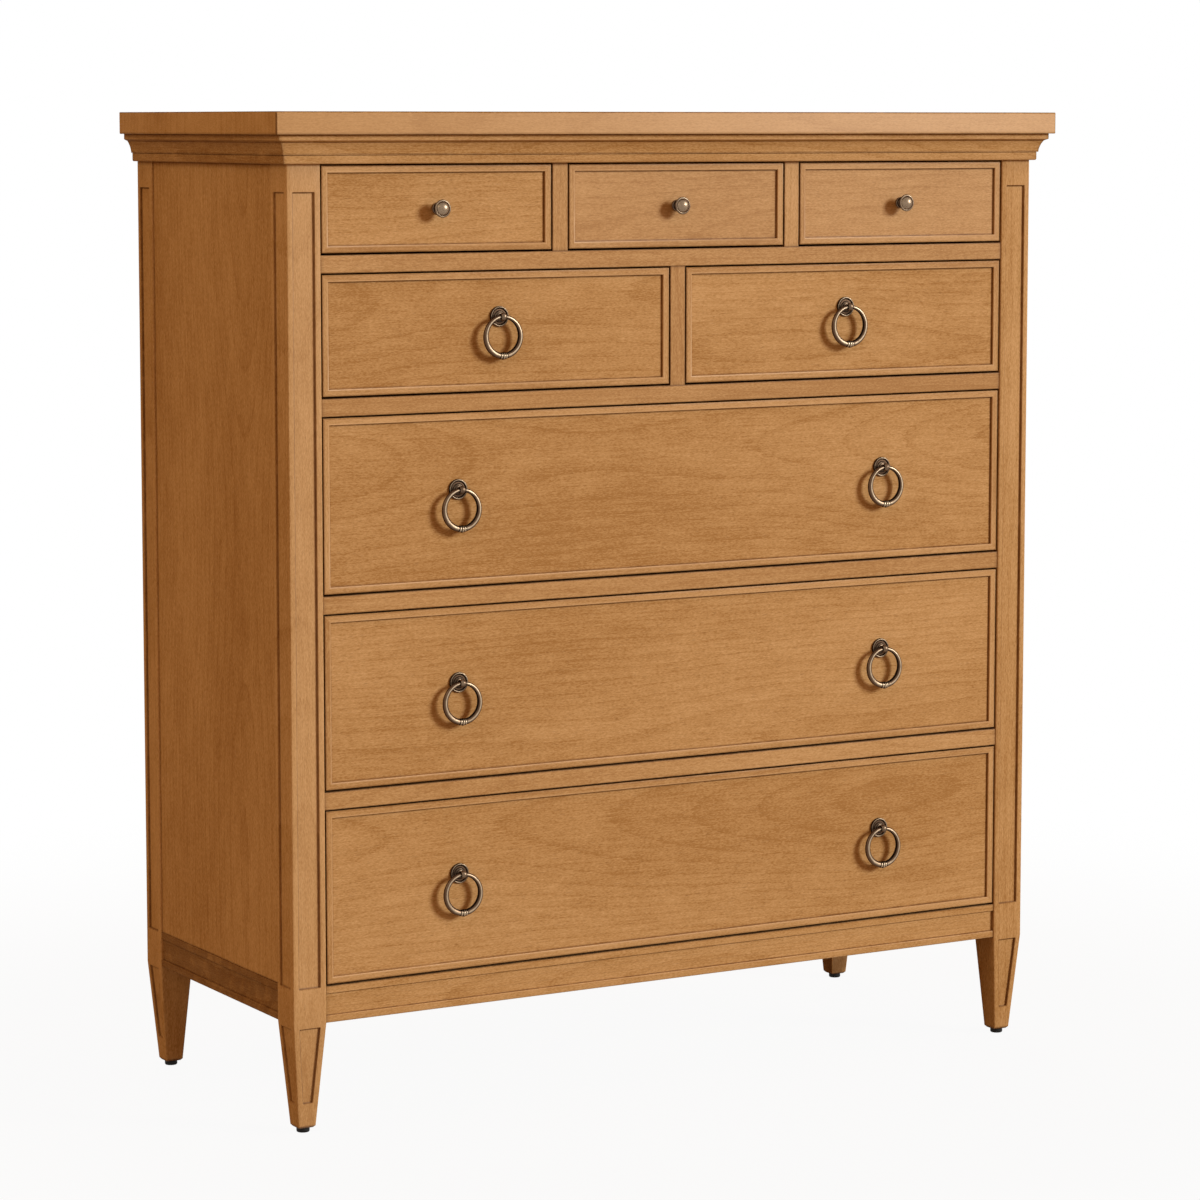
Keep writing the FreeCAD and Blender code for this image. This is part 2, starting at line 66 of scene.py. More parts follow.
def box(node):
    """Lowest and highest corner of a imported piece, as arrays."""
    return tuple(np.array(corner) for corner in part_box(node))


post_low, post_high = box("post_front_left")
rear_low, rear_high = box("post_rear_left")
case_left, case_right = post_low[0], -post_low[0]
case_front, case_back = post_low[1], rear_high[1]
opening_left, opening_right = post_high[0], -post_high[0]
face = box("drawer_front_3")[0][1]
field_depth = 3.5 * MM
field = face + field_depth
sheen = 0.12  # light mark of the satin coat on faces that look forward
apron_low, apron_high = box("front_apron")[0][2], box("front_apron")[1][2]
frieze_low, top_under = box("cornice_front")[0][2], box("cornice_front")[1][2]
print("case", round(case_right - case_left, 4), "wide, drawer faces at y =", round(face, 4))

# %% [markdown]
# ## Sheets: points on a grid
# Every new surface is a grid of points, rows by columns, like a net pulled into shape. Vertices could
# be pushed about one at a time, but a whole array is shorter and easier to check. Beside each point
# the sheet keeps two marks for the finish: dark, where glaze settles in a corner and where shade is
# painted into gaps and under edges, and light, where an edge is worn by rubbing and where a highlight
# or sheen is painted. Each quad also knows which way its wood runs and which board it was cut from.

# %% The sheet and its faces
@dataclass
class Sheet:
    points: np.ndarray
    dark: np.ndarray
    light: np.ndarray
    along: object = 0
    deep: object = 1
    board: object = 0
    loop_rows: bool = False
    loop_columns: bool = False


def sheet_faces(sheet):
    """Quads from point (r, c) to (r+1, c+1). A looped direction joins its end to its start, and an
    open direction of a tube is closed by one flat face at each end."""
    rows, columns = sheet.points.shape[:2]
    number = np.arange(rows * columns).reshape(rows, columns)
    down = np.vstack([number, number[:1]]) if sheet.loop_rows else number
    grid = np.hstack([down, down[:, :1]]) if sheet.loop_columns else down
    quads = np.stack([grid[:-1, :-1], grid[:-1, 1:], grid[1:, 1:], grid[1:, :-1]], axis=-1)
    ends = []
    if sheet.loop_columns and not sheet.loop_rows:
        ends = [number[0], number[-1]]
    elif sheet.loop_rows and not sheet.loop_columns:
        ends = [number[:, 0], number[:, -1]]
    return quads, ends


def quad_marks(values, quads, ends):
    """One value for each quad, then those of the first and last quad for the two closing faces."""
    spread = np.broadcast_to(values, quads.shape[:2])
    return np.concatenate([spread.ravel(), [spread[0, 0], spread[-1, -1]][:len(ends)]]).astype(int)


trial = Sheet(np.zeros((3, 4, 3)), np.zeros((3, 4)), np.zeros((3, 4)))
print("a sheet of 3 by 4 points has quads in rows and columns of", sheet_faces(trial)[0].shape[:2])

# %% [markdown]
# ## From sheets to a piece
# A piece is one mesh made of one or more closed sheets. Blender turns the faces outward, a sharp edge
# is kept wherever two faces meet at more than 35 degrees, and four attributes go with the mesh: the
# grain position (along, across and into the board), the board's seed, and the dark and light marks.
# The new piece then rides on its body and stands for its solid.

# %% Making a piece
made, finishes = {}, {}
sharp_angle = math.radians(35)


def make_piece(node, sheets, slot, body="case"):
    """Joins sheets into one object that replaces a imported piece, with the finish of its slot."""
    points = np.concatenate([sheet.points.reshape(-1, 3) for sheet in sheets])
    faces, start = [], 0
    marks = {"along": [], "deep": [], "board": []}
    for sheet in sheets:
        quads, ends = sheet_faces(sheet)
        faces += (quads.reshape(-1, 4) + start).tolist() + [(end + start).tolist() for end in ends]
        for name, values in marks.items():
            values.append(quad_marks(getattr(sheet, name), quads, ends))
        start += sheet.dark.size
    mesh = bpy.data.meshes.new(node + "_made")
    mesh.from_pydata(points.tolist(), [], faces)
    shell = bmesh.new()
    shell.from_mesh(mesh)
    bmesh.ops.recalc_face_normals(shell, faces=shell.faces)
    shell.to_mesh(mesh)
    shell.free()
    mesh.polygons.foreach_set("use_smooth", np.ones(len(faces), bool))
    mesh.set_sharp_from_angle(angle=sharp_angle)
    mark_mesh(mesh, points, *[np.concatenate(values) for values in marks.values()])
    for name in ("dark", "light"):
        values = np.concatenate([getattr(sheet, name).ravel() for sheet in sheets]).astype(np.float32)
        mesh.attributes.new(name, "FLOAT", "POINT").data.foreach_set("value", values)
    piece = bpy.data.objects.new(node + "_made", mesh)
    bpy.context.scene.collection.objects.link(piece)
    mesh.materials.append(finishes[slot])
    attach(piece, body)
    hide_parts(node)
    made[node] = len(faces)


def mark_mesh(mesh, points, along, deep, board):
    """Grain position of every face corner: its place from the middle of the piece, with the axes put
    in the order along, across, deep. Each board gets a seed from the piece's name."""
    corner = np.empty(len(mesh.loops), np.int32)
    mesh.loops.foreach_get("vertex_index", corner)
    sides = np.empty(len(mesh.polygons), np.int32)
    mesh.polygons.foreach_get("loop_total", sides)
    order = np.repeat(np.stack([along, 3 - along - deep, deep], axis=1), sides, axis=0)
    place = points[corner] - (points.min(axis=0) + points.max(axis=0)) / 2
    grain = np.take_along_axis(place, order, axis=1).astype(np.float32)
    seeds = np.random.default_rng(zlib.crc32(mesh.name.encode())).random(int(board.max()) + 1)
    seed = np.repeat(seeds[board], sides).astype(np.float32)
    mesh.attributes.new("grain", "FLOAT_VECTOR", "CORNER").data.foreach_set("vector", grain.ravel())
    mesh.attributes.new("seed", "FLOAT", "CORNER").data.foreach_set("value", seed)


print("pieces so far:", len(made))

# %% [markdown]
# ## Eased outlines
# A moulding is known by its outline. Each outline here is a small table of corners, in millimetres:
# across, out, how much the corner is eased, how far its mark fades, and its dark and light marks. A
# plane or a router never leaves a perfect corner, so each one becomes a short Bezier arc, with one
# more point on each side where the mark has faded to nothing.

# %% Outline helper
def eased(table, closed=True, steps=4):
    """Arc at each corner C from A = C + ease towards the last corner to B = C + ease towards the next:
    (1-t)^2 A + 2t(1-t) C + t^2 B. Gives the points in metres and their dark and light marks."""
    table = np.asarray(table, float)
    corner, ease, fade = table[:, :2], table[:, 2], table[:, 3]
    before = np.roll(corner, 1, axis=0) - corner
    after = np.roll(corner, -1, axis=0) - corner
    reach_before = np.linalg.norm(before, axis=1)
    reach_after = np.linalg.norm(after, axis=1)

    def step(direction, reach, length, most):
        return corner + direction * (np.minimum(length, most * reach) / reach)[:, None]

    start = step(before, reach_before, ease, 0.40)[:, None]
    stop = step(after, reach_after, ease, 0.40)[:, None]
    t = np.linspace(0, 1, steps)[:, None]
    arc = (1 - t) ** 2 * start + 2 * t * (1 - t) * corner[:, None] + t ** 2 * stop
    far_start = step(before, reach_before, ease + fade, 0.49)[:, None]
    far_stop = step(after, reach_after, ease + fade, 0.49)[:, None]
    points = np.concatenate([far_start, arc, far_stop], axis=1)
    share = np.concatenate([[0], np.ones(steps), [0]])
    marks = table[:, 4:6, None] * share
    if closed:
        return points.reshape(-1, 2) * MM, *marks.transpose(1, 0, 2).reshape(2, -1)
    inner = marks[1:-1].transpose(1, 0, 2).reshape(2, -1)
    dark, light = np.column_stack([table[0, 4:6], inner, table[-1, 4:6]])
    return np.vstack([corner[:1], points[1:-1].reshape(-1, 2), corner[-1:]]) * MM, dark, light


square = eased([(0, 0, 1, 1, 0, 1), (9, 0, 1, 1, 0, 1), (9, 9, 1, 1, 0, 1), (0, 9, 1, 1, 0, 1)])
print("an eased square has", len(square[0]), "points")

# %% [markdown]
# ## Carrying an outline round a rectangle
# Drawer fronts and plain boards are the same idea: an outline of inset and depth is carried round a
# rectangle, and at each inset the rectangle shrinks by that much. With a corner radius of nothing the
# corners come out as mitres, and with a radius they come out rounded like a sanded board.

# %% Round a rectangle
def row_marks(outline, place):
    """Dark and light marks of an outline, each carried along the whole row of its point."""
    return [np.broadcast_to(mark[:, None], place.shape[:2]) for mark in outline[1:]]


def round_rectangle(low, high, deep, outline, corner=0.0, steps=4, from_high=False):
    """Point at inset i and depth d on a corner of radius R: half size less max(R, i), plus
    max(R - i, 0) times (cos, sin) of the corner's angle. Depth is from the low or the high face."""
    points = outline[0]
    across, up = [axis for axis in range(3) if axis != deep]
    half, middle = (high - low) / 2, (high + low) / 2
    count = steps if corner else 1
    angle = (np.arange(4)[:, None] + np.linspace(0, 1, count)).ravel() * math.pi / 2
    side = np.repeat([[1, -1, -1, 1], [1, 1, -1, -1]], count, axis=1)
    inset = points[:, :1]
    hold, bend = np.maximum(corner, inset), np.maximum(corner - inset, 0)
    place = np.empty((len(points), len(angle), 3))
    place[..., across] = middle[across] + side[0] * (half[across] - hold) + bend * np.cos(angle)
    place[..., up] = middle[up] + side[1] * (half[up] - hold) + bend * np.sin(angle)
    place[..., deep] = (high[deep] - points[:, 1:] if from_high else low[deep] + points[:, 1:])
    return Sheet(place, *row_marks(outline, place), deep=deep, loop_columns=True)


def board_sheet(low, high, along, deep, ease=1.0, corner=1.0, dark=0.0, light=0.35, board=0):
    """A plain board: its outline runs from 8 mm in on one face, or three tenths of a narrow board,
    round the edge to the other face."""
    low, high = np.array(low, float), np.array(high, float)
    thick = (high - low)[deep] / MM
    inner = min(8.0, np.delete(high - low, deep).min() / MM * 0.3)
    outline = eased([(inner, 0, 0, 0, 0, 0), (0, 0, ease, 2, dark, light),
                     (0, thick, ease, 2, dark, light), (inner, thick, 0, 0, 0, 0)], closed=False)
    sheet = round_rectangle(low, high, deep, outline, corner * MM)
    sheet.along, sheet.board = along, board
    return sheet


print("a board has", board_sheet((0, 0, 0), (1, 0.02, 0.1), 0, 1).dark.size, "points")

# %% [markdown]
# ## Carrying an outline along a straight run
# Aprons and cornice lengths are cut from moulding: one section, pushed along a line. At a mitred end
# the run gets longer as the section reaches out, so the end leans by one for each step of reach.

# %% Along a run
def run_sheet(outline, axis, base, sign, start, stop, lean=(0, 0), joint=0.7):
    """Section point (reach, height) goes to base + sign * reach beside the run. Along the run it goes
    from start + lean * reach to stop + lean * reach, with a joint mark at both ends that is gone
    after 6 mm. Runs across the front keep the sheen and the painted highlights of their outline, runs
    along the sides have no light mark at all."""
    points, dark, light = outline
    reach, height = points[:, :1], points[:, 1:]
    ends = np.hstack([start + lean[0] * reach, stop + lean[1] * reach])
    near = np.array([0.0, 2.0, 6.0]) * MM
    path = np.hstack([ends[:, :1] + near, ends[:, 1:] - near[::-1]])
    place = np.empty(path.shape + (3,))
    place[..., axis] = path
    place[..., 1 - axis] = base + sign * reach
    place[..., 2] = height
    end_mark = joint * np.array([1, 0.25, 0, 0, 0.25, 1])
    dark = np.maximum(dark[:, None], end_mark)
    # Painted highlights and the sheen stay on runs across the front only
    light = np.maximum(sheen, light[:, None] * (end_mark < joint)) * (axis == 0)
    return Sheet(place, dark, light, along=axis, deep=1 - axis, loop_rows=True)


print("a run of the eased square has", run_sheet(square, 0, 0, 1, 0, 1).dark.size, "points")

# %% [markdown]
# ## Shader maths in plain sums
# Finishes are built from nodes. Clicking dozens of Math nodes together hides the idea, so one small
# class wraps a socket and lets Python write the sum: `1 - mask` adds one Math node. Colours go through
# Mix nodes, and every other node comes from one method.

# %% The shader helpers
class Wire:
    """An output socket that can be used in sums."""

    def __init__(self, paint, socket):
        self.paint, self.socket = paint, socket

    def math(self, operation, *values):
        return self.paint.node("ShaderNodeMath", {"operation": operation}, values)

    def __add__(self, other):
        return self.math("ADD", self, other)

    def __radd__(self, other):
        return self.math("ADD", other, self)

    def __sub__(self, other):
        return self.math("SUBTRACT", self, other)

    def __rsub__(self, other):
        return self.math("SUBTRACT", other, self)

    def __mul__(self, other):
        return self.math("MULTIPLY", self, other)

    def __rmul__(self, other):
        return self.math("MULTIPLY", other, self)

    def __pow__(self, other):
        return self.math("POWER", self, other)

    def fraction(self):
        return self.math("FRACT", self)

    def between(self, low, high):
        """Smooth step: 0 below low, 1 above high, an S curve between them."""
        return self.paint.node("ShaderNodeMapRange", {"interpolation_type": "SMOOTHSTEP"},
                               {"Value": self, "From Min": low, "From Max": high})


class Paint:
    """A finish being mixed: its owner, a material or the world, with its node tree and shader."""

    def __init__(self, owner):
        owner.use_nodes = True
        self.owner, self.tree = owner, owner.node_tree
        self.shader = self.tree.nodes.get("Principled BSDF")

    def node(self, kind, settings=None, values=(), output=0):
        """Any node: its settings first, then its sockets by place or by name."""
        node = self.tree.nodes.new(kind)
        for key, value in (settings or {}).items():
            setattr(node, key, value)
        for key, value in (values.items() if isinstance(values, dict) else enumerate(values)):
            self.connect(node.inputs[key], value)
        return Wire(self, node.outputs[output])

    def connect(self, socket, value):
        if isinstance(value, Wire):
            self.tree.links.new(value.socket, socket)
        else:
            socket.default_value = value

    def mix(self, first, second, share):
        return self.node("ShaderNodeMix", {"data_type": "RGBA"}, {0: share, 6: first, 7: second}, 2)

    def mark(self, name, output="Fac"):
        return self.node("ShaderNodeAttribute", {"attribute_name": name}, output=output)

    def scaled(self, vector, scale):
        return self.node("ShaderNodeVectorMath", {"operation": "MULTIPLY"}, (vector, scale))

    def noise(self, vector, scale, detail=2.0, rough=0.5):
        place = self.scaled(vector, scale)
        return self.node("ShaderNodeTexNoise", None,
                         {"Vector": place, "Scale": 1.0, "Detail": detail, "Roughness": rough})

    def finish(self, **sockets):
        """Sets the shader's sockets, with spaces in their names written as underscores."""
        for key, value in sockets.items():
            self.connect(self.shader.inputs[key.replace("_", " ")], value)
        return self.owner

    def surface(self, first, second, share):
        """Ends the tree with a share of the second shader over the first."""
        end = next(node for node in self.tree.nodes if "Surface" in node.inputs)
        both = self.node("ShaderNodeMixShader", None, (share, first, second))
        self.connect(end.inputs["Surface"], both)


def srgb(red, green, blue):
    """A colour as picked from a screen, 0 to 255, turned into the linear light that shaders use."""
    value = np.array([red, green, blue]) / 255
    linear = np.where(value <= 0.04045, value / 12.92, ((value + 0.055) / 1.055) ** 2.4)
    return (*linear.tolist(), 1.0)


print("mid maple in linear light:", [round(part, 3) for part in srgb(183, 130, 80)])

# %% [markdown]
# ## The maple finish
# The chest is maple with a honey stain, a brown glaze left in the corners and a satin top coat. Maple
# shows soft clouds, fine streaks, faint growth lines that arch where the saw left the heart of the
# log, short dark flecks and a few pin knots. A picture of wood would do, but it repeats and it ends at
# a board's edge, so the figure is worked out in each board's own grain position. The growth lines are
# rings about a heart that wanders below the face: where it comes near, they open into arches.

# %% Wood finishes
def wood_figure(paint, grain, seed):
    """Tone, dark fleck, pin knot, fibre and streak of a board, from its grain position and seed. The
    rings are counted by 95 sqrt(side^2 + heart^2), and a line is the end of each ring's fraction."""
    spread = paint.node("ShaderNodeVectorMath", {"operation": "MULTIPLY_ADD"},
                        (seed, (31.0, 17.0, 23.0), grain))
    number = paint.node("ShaderNodeSeparateXYZ", None, (seed,))
    cloud = paint.noise(spread, (1.5, 6.0, 6.0), 2.0)
    mottle = paint.noise(spread, (16.0, 40.0, 40.0), 3.0, 0.6)
    streak = paint.noise(spread, (14.0, 420.0, 420.0), 3.0, 0.6)
    fibre = paint.noise(spread, (210.0, 760.0, 760.0), 3.0, 0.7)
    place = paint.node("ShaderNodeSeparateXYZ", None, (grain,), "Y")
    side = place - ((number * 7.13).fraction() - 0.5) * 0.22
    wander = (paint.noise(spread, (1.3, 3.0, 3.0), 2.0) - 0.5) * 0.07
    heart = 0.02 + 0.14 * paint.noise(spread, (1.1, 0.3, 0.3), 1.0)
    ring = (((side + wander) ** 2.0 + heart * heart) ** 0.5) * 95 + streak * 0.30
    line = ring.fraction() ** 7.0
    tone = 0.5 + (cloud - 0.5) * 0.55 + (mottle - 0.5) * 0.34 + (streak - 0.5) * 0.46
    tone = tone + (fibre - 0.5) * 1.22 - line * 0.15 + ((number * 3.7).fraction() - 0.5) * 0.16
    fleck = paint.noise(spread, (95.0, 620.0, 620.0), 1.0).between(0.64, 0.76)
    cell = paint.scaled(spread, (2.4, 6.5, 6.5))
    near, chance = [paint.node("ShaderNodeTexVoronoi", None, {"Vector": cell, "Scale": 1.0}, output)
                    for output in ("Distance", "Color")]
    knot = (1 - near.between(0.004, 0.018)) * chance.between(0.58, 0.62)
    return tone, fleck, knot, fibre, streak


# Near black for painted shade, deep in the gaps and quirks
painted_shade_black = srgb(12, 6, 3)


def stained_wood(name, pale, middle, deep, glaze, roughness, axes=None):
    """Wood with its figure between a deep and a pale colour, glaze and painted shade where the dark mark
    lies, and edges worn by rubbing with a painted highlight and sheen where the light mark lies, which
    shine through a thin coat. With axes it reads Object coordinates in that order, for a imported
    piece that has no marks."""
    pale, middle, deep, glaze = (srgb(*shade) for shade in (pale, middle, deep, glaze))
    paint = Paint(bpy.data.materials.new(name))
    if axes is None:
        grain, seed = paint.mark("grain", "Vector"), paint.mark("seed", "Vector")
        dark, light = paint.mark("dark"), paint.mark("light")
    else:
        place = paint.node("ShaderNodeTexCoord", output="Object")
        parts = [paint.node("ShaderNodeSeparateXYZ", None, (place,), axis) for axis in axes]
        grain = paint.node("ShaderNodeCombineXYZ", None, parts)
        seed = paint.node("ShaderNodeCombineXYZ", None, (0.37, 0.37, 0.37))
    tone, fleck, knot, fibre, streak = wood_figure(paint, grain, seed)
    colour = paint.mix(deep, middle, tone.between(0.20, 0.55))
    colour = paint.mix(colour, pale, tone.between(0.45, 0.85))
    colour = paint.mix(colour, glaze, fleck * 0.20)
    colour = paint.mix(colour, glaze, knot * 0.75)
    if axes is None:
        # The light mark paints a paler colour: a painted highlight and sheen, and edges worn by rubbing
        colour = paint.mix(colour, pale, light.between(0.2, 1.0) * 0.45)
        patchy = paint.noise(grain, (45.0, 45.0, 45.0), 2.0).between(0.25, 0.60)
        # The dark mark: glaze in the corners, and painted shade in gaps and under edges
        glaze_and_painted_shade = dark * (0.55 + 0.45 * patchy)
        colour = paint.mix(colour, glaze, glaze_and_painted_shade * 0.9)
        # Where the dark mark is deep it turns near black: painted shade in gaps and quirks
        colour = paint.mix(colour, painted_shade_black, dark.between(0.78, 0.95) * 0.85)
        paint.finish(Coat_Weight=light * 0.6, Coat_Roughness=0.40)
    height = fibre * 0.5 + streak * 0.5 - fleck * 0.4
    bump = paint.node("ShaderNodeBump", None, {"Strength": 0.25, "Distance": 0.0004, "Height": height})
    shine = roughness + (streak - 0.5) * 0.16
    return paint.finish(Base_Color=colour, Roughness=shine, Normal=bump, Specular_IOR_Level=0.002)


shades = {
    "maple": ((203, 157, 106), (184, 138, 86), (161, 113, 62), (62, 24, 10), 0.46),
    "drawer_wood": ((226, 198, 158), (214, 182, 138), (196, 160, 114), (150, 112, 70), 0.5),
    "plywood": ((206, 168, 122), (192, 150, 104), (172, 128, 84), (120, 82, 48), 0.55),
}
for name, shade in shades.items():
    finishes[name] = stained_wood(name, *shade)
raw_shade = (214, 188, 146), (201, 171, 127), (184, 150, 104), (140, 105, 66), 0.6
raw_wood = {order: stained_wood("raw_wood_" + order.lower(), *raw_shade, axes=order)
            for order in ("XYZ", "YXZ", "ZXY")}
print("wood finishes:", *finishes, *raw_wood)

# %% [markdown]
# ## Antique brass and the glides
# The pulls are brass that was darkened and then worn back by rubbing: near black in the hollows, brown
# on the flats, and bright along the edges that a hand touches. The marks on each sheet already say
# which is which; on the rings they also paint a highlight along the front of the wire and shade
# along its sides. The glides are dark plastic with a fine moulded texture.

# %% Metal and plastic finishes
def antique_brass_finish():
    """Brown brass, mixed with bright brass by the light mark and with near black by the dark one."""
    paint = Paint(bpy.data.materials.new("antique_brass"))
    place = paint.node("ShaderNodeTexCoord", output="Object")
    dark, light = paint.mark("dark"), paint.mark("light")
    cloud = paint.noise(place, (160.0, 160.0, 160.0), 3.0)
    grit = paint.noise(place, (1500.0, 1500.0, 1500.0), 2.0)
    # The light mark: wear from rubbing, and on the rings a painted highlight as well
    rub_and_highlight = (light + (cloud - 0.5) * 0.5).between(0.05, 0.95)
    colour = paint.mix(srgb(91, 68, 51), srgb(176, 151, 123), rub_and_highlight)
    colour = paint.mix(colour, srgb(24, 15, 10), (dark + (0.5 - cloud) * 0.3).between(0.05, 0.80))
    bump = paint.node("ShaderNodeBump", None, {"Strength": 0.2, "Distance": 0.0003, "Height": grit})
    return paint.finish(Base_Color=colour, Metallic=1.0, Normal=bump,
                        Roughness=0.36 + dark * 0.20 + (grit - 0.5) * 0.15)


def glide_plastic_finish():
    """Two near blacks mixed by upright scuffs, with a fine grit in the gloss and the bump."""
    paint = Paint(bpy.data.materials.new("glide_plastic"))
    place = paint.node("ShaderNodeTexCoord", output="Object")
    grit = paint.noise(place, (900.0, 900.0, 900.0), 3.0)
    scuff = paint.noise(place, (60.0, 60.0, 240.0), 3.0).between(0.45, 0.75)
    colour = paint.mix(srgb(20, 16, 13), srgb(40, 34, 29), scuff)
    bump = paint.node("ShaderNodeBump", None, {"Strength": 0.3, "Distance": 0.0003, "Height": grit})
    return paint.finish(Base_Color=colour, Roughness=0.6 + grit * 0.2, Normal=bump,
                        Specular_IOR_Level=0.2)


finishes["antique_brass"] = antique_brass_finish()
finishes["glide_plastic"] = glide_plastic_finish()
print("all finishes:", *finishes)

# %% [markdown]
# ## Top board
# The top is one thick board with softly eased edges. Its upper edge and its two front corners get thin
# dark lines, and the front edge gets a painted highlight, so the columns of the grid there get those
# marks.

# %% The top
low, high = box("top_board")
thick = (high[2] - low[2]) / MM
top_outline = eased([(40, 0, 0, 0, 0, 0), (0, 0, 1.6, 0.8, 0.7, 0), (0, 2.6, 0.4, 1, 0, 0.35),
                     (0, thick, 1.5, 2, 0.3, 0.2), (40, thick, 0, 0, 0, 0)], closed=False)
top_sheet = round_rectangle(low, high, 2, top_outline, 2.5 * MM, from_high=True)
inset, depth = top_outline[0].T
on_edge = ((inset < 0.5 * MM) & (depth > 1.7 * MM))[:, None]
column = np.arange(top_sheet.dark.shape[1])
front_edge, front_corners = np.isin(column, (11, 12)), np.isin(column, (9, 10, 13, 14))
# Painted highlight on the front edge: a paler colour and a full coat
top_sheet.light = on_edge * front_edge * 1.0
top_sheet.dark = np.maximum(top_sheet.dark, on_edge * front_corners * 0.7)
make_piece("top_board", [top_sheet], "maple")
print("top board", made["top_board"], "faces,", round(thick, 1), "mm thick")

# %% [markdown]
# ## Cornice
# Under the top runs a moulding: a flat frieze with a rounded lower edge, a small step, a hollow cove,
# a splay and a fillet. It is cut in three lengths with mitred corners. One section serves them all.
# The cove is a Bezier curve whose middle lies back from the straight line by the depth of the hollow.

# %% The cornice section and its three lengths
base = frieze_low / MM
cove_start, cove_end, hollow = np.array([9.0, base + 13.2]), np.array([14.5, base + 28.5]), 1.0
along = (cove_end - cove_start) / np.linalg.norm(cove_end - cove_start)
cove_middle = (cove_start + cove_end) / 2 + 2 * hollow * np.array([-along[1], along[0]])
t = np.linspace(0, 1, 9)[1:-1, None]
cove = (1 - t) ** 2 * cove_start + 2 * t * (1 - t) * cove_middle + t ** 2 * cove_end
cove_rows = np.hstack([cove, np.tile([0.6, 0.1, 0, 0], (len(cove), 1))])
# Dark marks under the top, at the step and at the cove's ends are glaze with painted shade in the
# quirks; the light marks on the arrises are painted highlights
cornice_outline = eased(np.vstack([
    (0, base, 0.3, 1, 0, 0), (7, base, 2.5, 1, 0, 0.4), (7, base + 12.0, 0.3, 0.8, 0.9, 0),
    (9, base + 12.0, 0.4, 0.2, 0.1, 0.5), (*cove_start, 0.3, 0.6, 0.6, 0.1), cove_rows,
    (*cove_end, 0.3, 0.8, 0.8, 0), (19.5, base + 31.0, 0.5, 1.0, 0, 0.6),
    (19.5, top_under / MM, 0.3, 0.8, 0.9, 0), (0, top_under / MM, 0.3, 1, 0, 0)]))
cornice_joint, cornice_side_painted_shade = 0.55, 0.28
lengths = {
    "cornice_front": (0, case_front, -1, case_left, case_right, (-1, 1)),
    "cornice_left": (1, case_left, -1, case_front, case_back, (-1, 0)),
    "cornice_right": (1, case_right, 1, case_front, case_back, (-1, 0)),
}
for node, way in lengths.items():
    sheet = run_sheet(cornice_outline, *way, cornice_joint)
    # The two side lengths are darker all over: painted shade under the top's overhang
    if node != "cornice_front":
        sheet.dark = np.maximum(sheet.dark, cornice_side_painted_shade)
    make_piece(node, [sheet], "maple")
print("cornice lengths:", {node: made[node] for node in lengths})

# %% [markdown]
# ## Posts and feet
# Each corner post is square, with a long sunk panel on its outer faces, and tapers to a foot with a
# smaller sunk panel. A boolean cut would do, but its edges come out razor sharp. Here a post is one
# grid of heights by places round its section. A point sinks by the lesser of two shares, one from its
# place across the face and one from its height, which gives the panel walls and their mitres at once.

# %% The post grid
post_size, foot_size = (post_high[0] - post_low[0]) / MM, 26.0
apron_line, top_line = apron_low / MM, top_under / MM
# A panel's wall: distance past the panel's edge, sunk share and glaze
wall = np.array([(-6.5, 0, 0), (-1.3, 0, 0), (-0.5, 0.02, 0.45), (0.1, 0.28, 0.5),
                 (0.2, 0.92, 0.7), (0.6, 1, 0.7), (2.2, 1, 0)])
border, sunk, corner_ease, chamfer = 9.0, 3.0, 1.8, 2.2
foot_end, panel_feet, panel_posts = 7.0, (42.0, 146.0), (apron_high / MM, frieze_low / MM - 37)
# The four sides in the order front, right, back and left
normals = np.array([(0, -1), (1, 0), (0, 1), (-1, 0)])
tangents = np.array([(1, 0), (0, 1), (-1, 0), (0, -1)])
front, left = 0, 3
# Edge and corner light marks: wear from rubbing with a painted highlight
thin_glaze, edge_rub_and_highlight, corner_rub_and_highlight = 0.7, 0.25, 0.3


def post_rows():
    """Heights with their sunk share, glaze and chamfer, from the foot up to the top."""
    rise, fall = wall, wall[::-1] * (-1, 1, 1)
    blocks = [[(foot_end, 0, 0.9, chamfer), (foot_end + 2.6, 0, 0.5, 0), (foot_end + 5, 0, 0, 0)]]
    for start, end in (panel_feet, panel_posts):
        for edge, profile in ((start, rise), (end, fall)):
            profile = profile[1:] if edge == panel_feet[0] else profile
            block = np.hstack([profile + (edge, 0, 0), np.zeros((len(profile), 1))])
            blocks.append(block[block[:, 0] < apron_line] if edge == panel_feet[1] else block)
        if start == panel_feet[0]:
            blocks.append([(apron_line, 0, 0, 0)])
    blocks.append([(top_line, 0, 0.4, 0)])
    return np.vstack(blocks)


